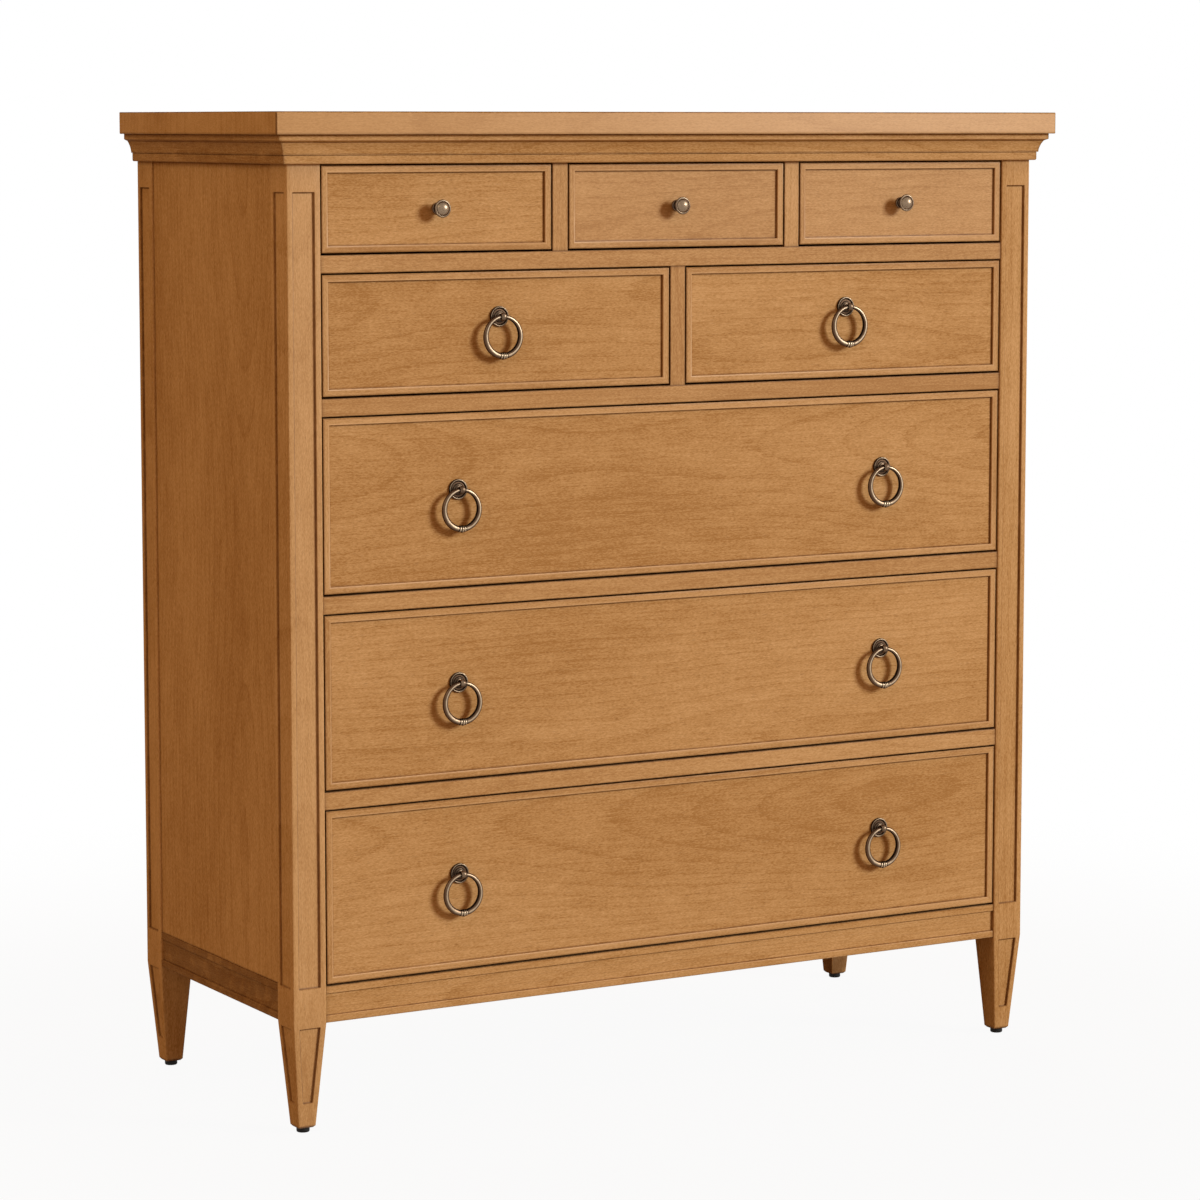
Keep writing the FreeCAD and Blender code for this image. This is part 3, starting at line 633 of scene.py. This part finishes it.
def post_sheet(centre, sunk_sides, gap_side=None, shine=sheen, inner_painted_shade=0.0, gap_painted_shade=0.9):
    """Face column at distance d from its edge: centre + normal * (half - inset - sink) + tangent *
    (d - half + inset). Corner column: an arc of the corner's ease. Inset grows down the foot. The
    side that faces the drawers gets painted shade in the gap beside them, and painted inner shade
    darkens the front and left faces, which look into the case on a rear right post. Light marks go on
    the front face and its two corners only: a high shine is a painted sheen, and the edge and corner
    marks are wear from rubbing with a painted highlight."""
    rows = post_rows()
    height, row_share, row_dark, extra = rows.T[:, :, None]
    taper = np.clip((apron_line - height) / (apron_line - foot_end), 0, 1)
    half = post_size / 2 - taper * (post_size - foot_size) / 2 - extra
    end_dark = row_dark * ((extra + taper > 0.9) | (height > top_line - 1))
    near, near_share, near_dark = np.vstack([(corner_ease, 0, 0), wall[1:] + (border, 0, 0)]).T
    # Front face light: the shine, a painted sheen where it is high, and edge wear with a painted
    # highlight
    rub_and_highlight = np.maximum(shine, edge_rub_and_highlight * (near == corner_ease) * row_share)
    arc = np.array([[math.pi / 6], [math.pi / 3]])
    places, darks, lights = [], [], []
    for side, (normal, tangent) in enumerate(zip(normals, tangents)):
        panelled = side in sunk_sides
        dark = np.maximum(near_dark * row_share, row_dark * near_share) * panelled
        dark = dark * (1 if side == front or gap_side is None else thin_glaze)
        dark = np.maximum(dark, end_dark)
        # Painted shade on the faces that look into the case
        if side in (front, left):
            dark = np.maximum(dark, inner_painted_shade)
        # Painted shade in the gap beside the drawers
        if side == gap_side:
            dark = np.where((height >= apron_line) & (near < border), gap_painted_shade, dark)
        out = half - np.minimum(near_share, row_share) * panelled * sunk
        for sign, order in ((-1, slice(None)), (1, slice(None, None, -1))):
            offset = sign * (half - near)
            places.append((out[..., None] * normal + offset[..., None] * tangent)[:, order])
            darks.append(dark[:, order])
            lights.append((rub_and_highlight * (side == front))[:, order])
        hub = (half - corner_ease)[..., None] * (normal + tangent)
        places.append(hub + corner_ease * (np.cos(arc) * normal + np.sin(arc) * tangent))
        darks.append(np.broadcast_to(row_dark * (extra > 0), (len(rows), 2)))
        lights.append(np.full((len(rows), 2), corner_rub_and_highlight * (side in (front, left))))
    flat = np.hstack(places)
    place = np.dstack([flat, np.broadcast_to(height, flat.shape[:2])]) * MM + (*centre, 0)
    return Sheet(place, np.hstack(darks), np.hstack(lights), along=2, deep=1, loop_columns=True)


print("a post has", len(post_rows()), "rows")

# %% The four posts
posts = {
    # The front left post's shine of 0.6 is a painted sheen, and the rear right post gets painted shade
    # on its inner faces
    "post_front_left": {"sunk_sides": (0, 3), "gap_side": 1, "shine": 0.6},
    "post_front_right": {"sunk_sides": (0, 1), "gap_side": 3, "gap_painted_shade": 0.55},
    "post_rear_left": {"sunk_sides": (3,)},
    "post_rear_right": {"sunk_sides": (1,), "inner_painted_shade": 0.7},
}
for node, choice in posts.items():
    low, high = box(node)
    make_piece(node, [post_sheet(((low + high) / 2)[:2], **choice)], "maple")
print("posts:", {node: made[node] for node in posts})

# %% [markdown]
# ## Aprons
# The aprons close the case between the feet. Each has a plain strip at the top, a sunk field and a
# bead along its lower edge: once more a section carried along a straight run.

# %% Front and side aprons
def gap_shade(points):
    """Painted shade in the gap beside a drawer: full just behind the face, half at 8 mm, none at 24 mm.
    """
    return np.interp(-points[:, 0] / MM, [0.4, 0.9, 8, 24], [0, 0.95, 0.5, 0])


low, high = apron_low / MM, apron_high / MM
# Dark marks on the top, behind the face, are painted shade in the gap under the lowest drawer, and the
# light marks on the front arrises are painted highlights
apron_outline = eased([
    (0, low, 1.6, 1.5, 0.1, 0.5), (0, low + 10, 1.0, 0.8, 0, 0.5), (-3, low + 10, 0.3, 1.2, 0.8, 0),
    (-3, low + 20, 0.3, 0.3, 0.15, 0), (-3, high - 20, 0.3, 0.3, 0.15, 0),
    (-3, high - 10, 0.3, 1.2, 0.6, 0), (0, high - 10, 1.0, 0.8, 0, 0.4), (0, high, 0.8, 0.9, 0.45, 0),
    (-1, high, 0.1, 0.1, 0.95, 0), (-6, high, 0.1, 0.1, 0.8, 0), (-22, high, 0.6, 1, 0.1, 0),
    (-22, low, 0.6, 1, 0.1, 0)])
side_face = box("side_apron_left")[0][0]
side_start, side_stop = post_high[1], rear_low[1]
aprons = {
    "front_apron": (0, face, -1, opening_left, opening_right),
    "side_apron_left": (1, side_face, -1, side_start, side_stop),
    "side_apron_right": (1, -side_face, 1, side_start, side_stop),
}
# Painted shade on the front apron's top in the gap; the side aprons get glaze with painted shade that
# makes the left darker than the right
on_top = apron_outline[0][:, 1] > apron_high - 0.1 * MM
apron_glaze_and_shade = {"front_apron": (gap_shade(apron_outline[0]) * on_top)[:, None],
               "side_apron_left": 0.56, "side_apron_right": 0.3}
for node, way in aprons.items():
    sheet = run_sheet(apron_outline, *way)
    sheet.dark = np.maximum(sheet.dark, apron_glaze_and_shade[node])
    make_piece(node, [sheet], "maple")
print("aprons from", round(low), "to", round(high), "mm above the floor")

# %% [markdown]
# ## Rails, dividers and panels
# The bars between the drawers, the wide side panels and the back are plain boards. Their ends meet
# the posts in tight joints, where a little glaze draws a thin line.

# %% Rails and dividers
bar_width, bar_joint, bar_painted_sheen = 24 * MM, 0.75, 0.4


def bar_sheet(low, high, axis, board=0):
    """A rail along X or a divider along Z: an eased section carried along the bar, with a joint line
    at each end, painted shade in the gaps above and below, or left and right, and a painted sheen
    all over."""
    run, rise = (0, 2) if axis == 0 else (2, 0)
    first, last, depth = low[rise] / MM, high[rise] / MM, (high[1] - low[1]) / MM
    # The dark front edges and the gap marks are painted shade in the gaps
    section = eased([
        (0, first, 0.8, 0.7, 0.55, 0), (0, last, 0.8, 0.7, 0.55, 0), (-8, last, 0.1, 1, 0, 0),
        (-24, last, 0.1, 1, 0, 0), (-depth, last, 0.8, 1, 0, 0), (-depth, first, 0.8, 1, 0, 0),
        (-24, first, 0.1, 1, 0, 0), (-8, first, 0.1, 1, 0, 0)])
    sheet = run_sheet(section, 0, low[1], -1, low[run], high[run], joint=bar_joint)
    sheet.dark = np.maximum(sheet.dark, gap_shade(section[0])[:, None])
    sheet.light = np.maximum(sheet.light, bar_painted_sheen)
    if axis == 2:
        sheet.points = sheet.points[..., [2, 1, 0]]
    sheet.along, sheet.board = axis, board
    return sheet


for number in range(1, 5):
    low, high = box(f"front_rail_{number}")
    low[0], high[0] = opening_left, opening_right
    make_piece(f"front_rail_{number}", [bar_sheet(low, high, 0)], "maple")
make_piece("row_2_divider", [bar_sheet(*box("row_2_divider"), 2)], "maple")
low, high = box("row_1_dividers")
apart = np.array([high[0] - low[0] - bar_width, 0, 0])
pair = [bar_sheet(low, high - apart, 2), bar_sheet(low + apart, high, 2, board=1)]
make_piece("row_1_dividers", pair, "maple")
print("rails and dividers:", [node for node in made if "rail" in node or "divider" in node])

# %% Side panels and back
panel_thick = 14.0
panel_outline = eased([(40, 0, 0, 0, 0, 0), (0, 0, 0.3, 2.0, 0.7, 0), (0, panel_thick, 0.4, 2, 0.3, 0),
                       (40, panel_thick, 0, 0, 0, 0)], closed=False)
for node, from_high in (("side_panel_left", False), ("side_panel_right", True)):
    low, high = box(node)
    low[1:], high[1:] = (side_start, apron_high), (side_stop, frieze_low)
    panel = round_rectangle(low, high, 0, panel_outline, from_high=from_high)
    panel.along = 2
    make_piece(node, [panel], "maple")
low, high = box("back_panel")
low[0], high[0] = opening_left, opening_right
make_piece("back_panel", [board_sheet(low, high, 2, 1, ease=0.5, corner=0.5, dark=0.4)], "plywood")
print("panels:", [node for node in made if "panel" in node])

# %% [markdown]
# ## Drawer fronts
# Each front has a bead with mitred corners, planted round a sunk field. The outline starts on the
# back, comes round the outer edge, over the bead and down its inner wall to the field. The grain turns
# with the mitres: it runs along each bead, and straight across the field.

# %% Drawer fronts
drawers = ["1_left", "1_centre", "1_right", "2_left", "2_right", "3", "4", "5"]
bead, front_thick, field_line = 9.5, 22.0, field_depth / MM
# On the outline, the light marks of the outer edge and the bead's inner edge are painted highlights, and
# the dark mark at the field's corner is glaze
front_outline = eased([
    (25, front_thick, 0, 0, 0, 0), (0, front_thick, 0.8, 2, 0.3, 0), (0, 10, 0.1, 0.1, 0, 0),
    (0, 5, 0.1, 0.1, 0, 0), (0, 0, 1.6, 1.2, 0.25, 0.35), (bead, 0, 1.6, 1.2, 0, 0.8),
    (bead, field_line, 0.3, 2.4, 0.62, 0), (30, field_line, 0, 0, 0, 0)], closed=False)
rail_hair, bead_painted_sheen, painted_sheen = 0.6 * MM, 0.4, 0.5
right_painted_shade = [1.3, 1, 1, 1.3]


def front_sheet(node):
    """Outline carried round the front. Quads of the bead belong to four mitred strips, whose grain
    runs along them, and the rows past the bead's foot belong to the field. The front stands a hair
    above its rail, which keeps the line between them dark. Its edges in the gaps get painted shade,
    the field's inner edge more painted shade on the right, the bead a painted sheen, and two fronts
    a stronger painted sheen."""
    low, high = box(node)
    low[2] += rail_hair
    sheet = round_rectangle(low, high, 1, front_outline)
    inset, depth = front_outline[0].T
    on_field = (inset >= bead * MM) & (depth >= field_depth - 0.1 * MM)
    plain = (on_field | (depth > 12 * MM))[:-1, None]
    sheet.along = np.where(plain, 0, [[0, 2, 0, 2]])
    sheet.board = np.where(plain, 0, [[1, 2, 3, 4]])
    # Painted shade on the front's edges inside the gaps
    gap = np.interp(depth / MM, [0.9, 1.3, 5, 10], [0, 0.95, 0.8, 0.2]) * (inset < 0.1 * MM)
    sheet.dark = np.maximum(sheet.dark, gap[:, None])
    field_edge = ((inset >= (bead - 0.5) * MM) & (depth > 0.5 * field_depth))[:, None]
    # Painted shade: the field's inner edge darker on the right, where the bead shades it
    sheet.dark = sheet.dark * np.where(field_edge, right_painted_shade, 1)
    # Painted sheen: paler colour and more coat on the bead and on two fronts
    shine = painted_sheen if node.endswith(("1_centre", "1_right")) else sheen
    on_bead = (depth < 0.5 * MM)[:, None]
    sheet.light = np.maximum(sheet.light, np.where(on_bead, max(shine, bead_painted_sheen), shine))
    return sheet


for name in drawers:
    node = "drawer_front_" + name
    make_piece(node, [front_sheet(node)], "maple", "drawer_" + name)
print("drawer fronts:", sum(node.startswith("drawer_front") for node in made))

# %% [markdown]
# ## Drawer boxes
# Behind each front is a box of pale, unstained boards: two sides, a back and a thin bottom. The upper
# edges are rounded over, as a maker does so that nothing snags. Half-blind dovetails hold the sides:
# their tails show in the ends of the front, as trapezoids that get wider towards the tip.

# %% Drawer boxes
tail_pitch, side_thick, runner_hair = 36 * MM, 12 * MM, 0.2 * MM
bottom_low, bottom_high = 10 * MM, 16 * MM


def tail_sheets(end, inward, back, bottom, top, board):
    """Tails in one end of a front. Tail n of N is centred at bottom + (n + 1/2) pitch. Its corners lie
    0.24 pitch either side of that at the root, 2 mm behind the front, and 0.36 pitch at the tip, 15 mm
    into it. A tail is sunk 1 mm into the end and stands 0.15 mm proud."""
    count = round((top - bottom) / tail_pitch)
    pitch = (top - bottom) / count
    reach = np.array([-15.0, -15.0, 2.0, 2.0]) * MM
    spread = np.array([-0.36, 0.36, 0.24, -0.24]) * pitch
    place = np.empty((count, 2, 4, 3))
    place[..., 0] = end + inward * np.array([[-0.15], [1.0]]) * MM
    place[..., 1] = back + reach
    place[..., 2] = (bottom + (np.arange(count)[:, None] + 0.5) * pitch + spread)[:, None]
    mark = np.zeros((2, 4))
    return [Sheet(tail, mark, mark, along=1, deep=0, board=board, loop_columns=True) for tail in place]


def box_sheets(name):
    """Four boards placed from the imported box: side thickness 12, bottom 6 thick and 10 up. The sides
    stop a hair above the runners that they slide on, and their tails lie in the front's ends."""
    low, high = box("drawer_box_" + name)
    low[2] += runner_hair
    front_low, front_high = box("drawer_front_" + name)
    start, stop, top = front_high[1], high[1], high[2]
    left_in, right_in = low[0] + side_thick, high[0] - side_thick
    groove = side_thick / 2
    sheets = [board_sheet((x, start, low[2]), (x + side_thick, stop, top), 1, 0, 2.0, 1.5, board=number)
              for number, x in enumerate((low[0], right_in))]
    sheets.append(board_sheet((left_in, stop - side_thick, low[2] + bottom_high), (right_in, stop, top),
                              0, 1, 2.0, 0.5, board=2))
    sheets.append(board_sheet((low[0] + groove, start, low[2] + bottom_low),
                              (high[0] - groove, stop, low[2] + bottom_high), 0, 2, 0.5, 0.5, board=3))
    for board, end, inward in ((0, front_low[0], 1), (1, front_high[0], -1)):
        sheets += tail_sheets(end, inward, start, low[2] + 4 * MM, top, board)
    return sheets


for name in drawers:
    make_piece("drawer_box_" + name, box_sheets(name), "drawer_wood", "drawer_" + name)
print("drawer boxes:", sum(node.startswith("drawer_box") for node in made))

# %% [markdown]
# ## Turned brass
# Knobs, plates, necks and glides are turned on a lathe, so each is an outline of radius and distance
# spun about its axis.

# %% Spinning an outline
outward = (0, -1, 0)


def spin(outline, centre, columns, axis=outward, closed=False):
    """Point at radius r, distance d and angle a: centre + d along the axis + r times (cos a, sin a)."""
    points = outline[0]
    angle = np.linspace(0, 2 * math.pi, columns, endpoint=False)
    axis = np.array(axis, float)
    side = np.array([0, 0, 1.0]) if abs(axis[2]) < 0.5 else np.array([1.0, 0, 0])
    other = np.cross(axis, side)
    circle = np.cos(angle)[:, None] * side + np.sin(angle)[:, None] * other
    place = np.asarray(centre) + points[:, 1, None, None] * axis + points[:, 0, None, None] * circle
    return Sheet(place, *row_marks(outline, place), loop_rows=closed, loop_columns=True)


def arc_rows(centre, radius, start, stop, count, dark, light):
    """Rows of an outline table along an arc, angles in degrees from the radius direction."""
    angle = np.radians(np.linspace(start, stop, count))
    place = np.array(centre) + radius * np.column_stack([np.cos(angle), np.sin(angle)])
    return np.hstack([place, np.tile([0.3, 0.05, dark, light], (count, 1))])


print("outward from the drawers:", outward)

# %% Knobs
knob_length, dome_rise, dome_edge = 22.8, 5.0, 9.3
dome_radius = (dome_edge ** 2 + dome_rise ** 2) / (2 * dome_rise)
dome_start = math.degrees(math.acos(dome_edge / dome_radius))
dome_rows = arc_rows((0, knob_length - dome_radius), dome_radius, dome_start, 89, 9, 0, 0.85)
knob_rim = (10.4, 16.2), 1.8
knob_outline = eased(np.vstack([
    (0.2, 0, 0, 0, 0, 0), (8, 0, 0.3, 0.3, 0.8, 0), (8, 1.8, 0.6, 0.3, 0.1, 0.4),
    (6.4, 3.4, 0.8, 0.4, 0.7, 0), (4.6, 5.6, 1.2, 0.5, 0.5, 0), (4.8, 9.5, 1.2, 0.5, 0.7, 0),
    (8.6, 13.4, 1.2, 0.5, 0.7, 0), arc_rows(*knob_rim, -70, 10, 4, 0.45, 0),
    arc_rows(*knob_rim, 35, 105, 4, 0.1, 0.4), (9.8, 17.1, 0.1, 0.2, 0.8, 0),
    (9.4, 17.1, 0.1, 0.2, 0.8, 0), dome_rows, (0.1, knob_length, 0, 0, 0, 0.85)]),
    closed=False, steps=3)
inner_face = field_line - front_thick
screw_outline = eased([(0.2, 4, 0, 0, 0, 0), (2, 4, 0.2, 0.2, 0, 0), (2, inner_face, 0.2, 0.2, 0.5, 0),
                       (4, inner_face, 0.2, 0.2, 0.5, 0), (4, inner_face - 2, 0.6, 0.2, 0, 0.7),
                       (0.2, inner_face - 2.5, 0, 0, 0, 0.3)], closed=False)


def knob_sheets(name):
    """Knob on the middle of its drawer, and the screw that holds it from the inside."""
    low, high = box("knob_" + name)
    centre = ((low[0] + high[0]) / 2, field, (low[2] + high[2]) / 2)
    return [spin(knob_outline, centre, 64), spin(screw_outline, centre, 24)]


for name in drawers[:3]:
    make_piece("knob_" + name, knob_sheets(name), "antique_brass", "drawer_" + name)
print("knobs:", [node for node in made if node.startswith("knob")])

# %% [markdown]
# ## Ring pulls
# A round plate with a raised rim carries an eye on a short neck, and the ring hangs in the eye. The
# ring is a torus whose wire is thin in the eye and full at the bottom, with three beads at its lowest
# point: all of that is one formula for the wire's radius at each angle.

# %% Plates and eyes
standoff, eye_radius, thin_wire = 12.0, 5.5, 2.5
plate_rim = (12.7, 2.0), 1.3
plate_outline = eased(np.vstack([
    (0.2, 0, 0, 0, 0, 0), (14, 0, 0.3, 0.3, 0.9, 0), (14, 1.6, 0.5, 0.3, 0.7, 0),
    arc_rows(*plate_rim, 10, 50, 3, 0.6, 0), arc_rows(*plate_rim, 70, 120, 3, 0.15, 0.45),
    arc_rows(*plate_rim, 150, 170, 2, 0.6, 0), (10.9, 1.7, 0.5, 0.3, 1, 0), (7.6, 1.8, 0.5, 0.3, 1, 0),
    arc_rows((6.2, 1.9), 1.2, 10, 130, 5, 0.4, 0.3), (4.6, 3.0, 0.3, 0.2, 0.8, 0),
    (4.6, 4.2, 0.4, 0.2, 0.2, 0.5), (3.0, 4.4, 0.4, 0.2, 0.9, 0),
    (3.0, standoff - 4.4, 0, 0, 0.7, 0)]), closed=False, steps=3)
stud_end, nut_end = inner_face - 4.5, inner_face - 3.4
stud_outline = eased([(0.2, 2, 0, 0, 0, 0), (2.2, 2, 0.2, 0.2, 0, 0),
                      (2.2, stud_end, 0.4, 0.2, 0.3, 0.3), (0.2, stud_end, 0, 0, 0, 0)], closed=False)
nut_outline = eased([(2.4, inner_face, 0.2, 0.2, 0.5, 0), (4.5, inner_face, 0.2, 0.2, 0.3, 0),
                     (4.5, nut_end, 0.5, 0.2, 0, 0.7), (2.4, nut_end, 0.2, 0.2, 0.5, 0)])


def eye_outline(bore=3.5):
    """Ball with a rounded hole: an arc of the ball from one mouth to the other, then back along the
    bore. Here the distance is along the bore and the radius is from its middle."""
    mouth = math.degrees(math.acos((bore + 0.5) / eye_radius))
    ball = arc_rows((0, 0), eye_radius, -mouth, mouth, 15, 0.2, 0.3)
    back = np.array([(bore, 3.4, 0.5, 0.2, 0.9, 0.1), (bore, -3.4, 0.5, 0.2, 0.9, 0.1)])
    return eased(np.vstack([ball, back]), steps=3)


def plate_sheets(x, z):
    """A plate on the field, the eye before it, and the stud and six-sided nut that hold it."""
    centre = np.array([x, field, z])
    eye = centre + (0, -standoff * MM, 0)
    return [spin(plate_outline, centre, 64), spin(eye_outline(), eye, 48, (1, 0, 0), closed=True),
            spin(stud_outline, centre, 20), spin(nut_outline, centre, 6, closed=True)]


print("a plate stands", standoff, "mm behind the middle of its eye")

# %% Rings
def ring_sheet(x, z, ring=26.6, thin=thin_wire, full=4.2, columns=32):
    """Angle a goes round the ring from the eye. Wire radius: thin + (full - thin) sin(a / 2), or over a
    bead the wire plus the bead's height times sqrt(1 - (s / half width)^2), s along the collar. A
    painted highlight runs along the front of the wire and another along its back, over brass worn by
    rubbing, and painted shade darkens both sides of the wire over their dark patina."""
    side = np.linspace(0, math.pi - 0.22, 60)
    beads = np.linspace(math.pi - 0.2, math.pi + 0.2, 70)
    angle = np.concatenate([side, beads, 2 * math.pi - side[:0:-1]])
    wire = thin + (full - thin) * np.sin(angle / 2)
    collar = ring * (angle - math.pi)[:, None]
    middles, heights = np.array([-3.4, 0, 3.4]), np.array([0.6, 1.2, 0.6])
    bumps = heights * np.sqrt(np.clip(1 - ((collar - middles) / 1.7) ** 2, 0, 1))
    groove = np.exp(-(np.abs(np.abs(collar[:, 0, None]) - [1.7, 5.1]) / 0.5) ** 2).max(axis=1)
    wire = wire + bumps.max(axis=1) - 0.8 * groove
    turn = np.linspace(0, 2 * math.pi, columns, endpoint=False)
    radius = ring + wire[:, None] * np.cos(turn)
    place = np.stack([x / MM + np.sin(angle)[:, None] * radius,
                      wire[:, None] * np.sin(turn) + field / MM - standoff,
                      z / MM - ring + np.cos(angle)[:, None] * radius], axis=-1) * MM
    eye_dark = 0.8 * np.exp(-(np.minimum(angle, 2 * math.pi - angle) / 0.22) ** 2)
    forward = (turn + math.pi / 2 + math.pi) % (2 * math.pi) - math.pi
    # Painted shade along both sides of the wire, over dark patina
    side_shade_and_patina = np.interp(forward, [-2.2, -1.5, -1.0, -0.5, 1.2, 1.7, 2.3],
                       [0.1, 0.6, 0.8, 0, 0, 0.7, 0.1])
    dark = np.maximum(np.maximum(groove, eye_dark)[:, None], side_shade_and_patina)
    # Painted highlights along the front and the back of the wire, over wear from rubbing
    front_painted_highlight = 0.8 * np.exp(-((forward - 0.05) / 0.32) ** 2)
    back_painted_highlight = 0.5 * np.exp(-((np.abs(forward) - math.pi) / 0.4) ** 2)
    light = front_painted_highlight + back_painted_highlight + 0.4 * (bumps.max(axis=1) > 0.3)[:, None]
    return Sheet(place, dark, light, loop_rows=True, loop_columns=True)


rings = {"2_left": ["2_left"], "2_right": ["2_right"]}
rings |= {name: [name + "_left", name + "_right"] for name in ("3", "4", "5")}
for name, hands in rings.items():
    plates = []
    for hand in hands:
        low, high = box("ring_" + hand)
        x, eye_z = (low[0] + high[0]) / 2, high[2] - thin_wire * MM
        plates += plate_sheets(x, eye_z)
        make_piece("ring_" + hand, [ring_sheet(x, eye_z)], "antique_brass", "ring_" + hand)
    make_piece("pull_plates_" + name, plates, "antique_brass", "drawer_" + name)
print("rings:", [node for node in made if node.startswith("ring")])

# %% [markdown]
# ## Glides
# Under each foot is a low plastic glide with a rounded rim, so that the chest can be slid about.

# %% Foot glides
glide_radius, glide_height = 9, 7
glide_outline = eased([
    (0.2, 0, 0, 0, 0, 0), (glide_radius, 0, 2.0, 0.5, 0, 0),
    (glide_radius, glide_height, 0.3, 0.5, 0, 0), (0.2, glide_height, 0, 0, 0, 0)], closed=False)
low, high = box("foot_glides")
near_low, near_high = low + glide_radius * MM, high - glide_radius * MM
spots = [(x, y) for x in (near_low[0], near_high[0]) for y in (near_low[1], near_high[1])]
glides = [spin(glide_outline, (x, y, 0), 40, (0, 0, 1)) for x, y in spots]
make_piece("foot_glides", glides, "glide_plastic")
print("glides at", [(round(x, 3), round(y, 3)) for x, y in spots])

# %% [markdown]
# ## Inside the case
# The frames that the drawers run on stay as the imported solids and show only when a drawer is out. They
# get raw wood that reads Object coordinates, with the grain turned to each piece's length.

# %% Raw wood inside
inside = {"top_rails": "XYZ", "web_frame_rails": "XYZ", "drawer_stops": "XYZ", "dust_panels": "XYZ",
          "drawer_runners": "YXZ", "drawer_guides": "YXZ", "glue_blocks": "ZXY"}
for node, order in inside.items():
    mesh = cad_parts[node].data
    mesh.materials.clear()
    mesh.materials.append(raw_wood[order])
left_over = sorted(set(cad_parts) - set(made) - set(inside))
print("inside pieces:", len(inside), "with no finish yet:", left_over)

# %% [markdown]
# ## Camera
# The photograph was taken from the left front, a little below the top, through a long lens. Its upright
# lines stay upright, which a view camera does with a shifted back; a small shift is enough here.

# %% The camera
camera_data = bpy.data.cameras.new("camera")
camera_data.lens, camera_data.sensor_width, camera_data.shift_y = 116.476, 36.0, -0.05
camera_data.clip_end = 100.0
pitch, heading = 6.125, -30.203
camera = bpy.data.objects.new("camera", camera_data)
camera.location = (-2.8147, -4.8488, 1.3563)
camera.rotation_euler = (math.radians(90 - pitch), 0, math.radians(heading))
bpy.context.scene.collection.objects.link(camera)
bpy.context.scene.camera = camera
print("camera", round(camera_data.lens, 1), "mm lens")

# %% [markdown]
# ## Studio
# One soft lamp stands to the right of the camera and above it, so the rings throw their shadows to the
# left and down. A broad warm lamp fills the left side and another the back, and a dim warm surround
# fills the rest. The surround and the floor look white to the camera, and to the brass, without adding
# to the light on the wood.

# %% Lamps
def lamp(name, place, target, size, power, colour):
    """A round soft lamp: it tilts from straight down by the angle of its line to the target, and turns
    by that line's heading."""
    data = bpy.data.lights.new(name, "AREA")
    data.shape, data.size, data.energy, data.color = "DISK", size, power, colour
    item = bpy.data.objects.new(name, data)
    aim = np.array(target) - np.array(place)
    item.location = place
    tilt = math.acos(-aim[2] / np.linalg.norm(aim))
    item.rotation_euler = (tilt, 0, math.atan2(aim[0], -aim[1]) + math.pi)
    bpy.context.scene.collection.objects.link(item)


lamp("key", (16.1, -16.3, 8.27), (0, -0.2, 0.7), 7.0, 6050, (0.84, 0.92, 0.96))
lamp("left_fill", (-5.6, -0.6, 4.3), (0, 0, 0.8), 3.5, 82, (1.0, 0.93, 0.70))
lamp("rear_fill", (1.5, 6.0, 2.6), (0, 0.2, 0.8), 3.5, 130, (1.0, 0.9, 0.78))


# %% Surround and floor
def seen_by_eye(paint):
    """1 where a camera, glossy or transmitted ray asks, 0 for the light that falls on things."""
    camera_ray, glossy_ray, through_ray = [
        paint.node("ShaderNodeLightPath", output=f"Is {kind} Ray")
        for kind in ("Camera", "Glossy", "Transmission")]
    return camera_ray.math("MAXIMUM", camera_ray, glossy_ray.math("MAXIMUM", glossy_ray, through_ray))


bpy.context.scene.world = bpy.data.worlds.new("surround")
paint = Paint(bpy.context.scene.world)
soft = paint.node("ShaderNodeBackground", None, {"Color": (1.0, 0.55, 0.27, 1), "Strength": 0.45})
white = paint.node("ShaderNodeBackground", None, {"Color": (1, 1, 1, 1), "Strength": 1.0})
paint.surface(soft, white, seen_by_eye(paint))

floor_mesh = bpy.data.meshes.new("floor")
far = 30
corners = [(-far, -far, 0), (far, -far, 0), (far, far, 0), (-far, far, 0)]
floor_mesh.from_pydata(corners, [], [(0, 1, 2, 3)])
floor = bpy.data.objects.new("floor", floor_mesh)
bpy.context.scene.collection.objects.link(floor)
paint = Paint(bpy.data.materials.new("pale_floor"))
floor_mesh.materials.append(paint.finish(Base_Color=(0.32, 0.24, 0.16, 1), Roughness=0.9))
place = paint.node("ShaderNodeTexCoord", output="Object")
away = paint.node("ShaderNodeVectorMath", {"operation": "LENGTH"}, (place,), "Value")
matt, glow = Wire(paint, paint.shader.outputs[0]), paint.node("ShaderNodeEmission")
paint.surface(matt, glow, seen_by_eye(paint) * (0.94 + 0.06 * away.between(0.7, 2.2)))
bpy.context.scene.view_settings.view_transform = "Standard"
print("surround and floor are white to the camera")
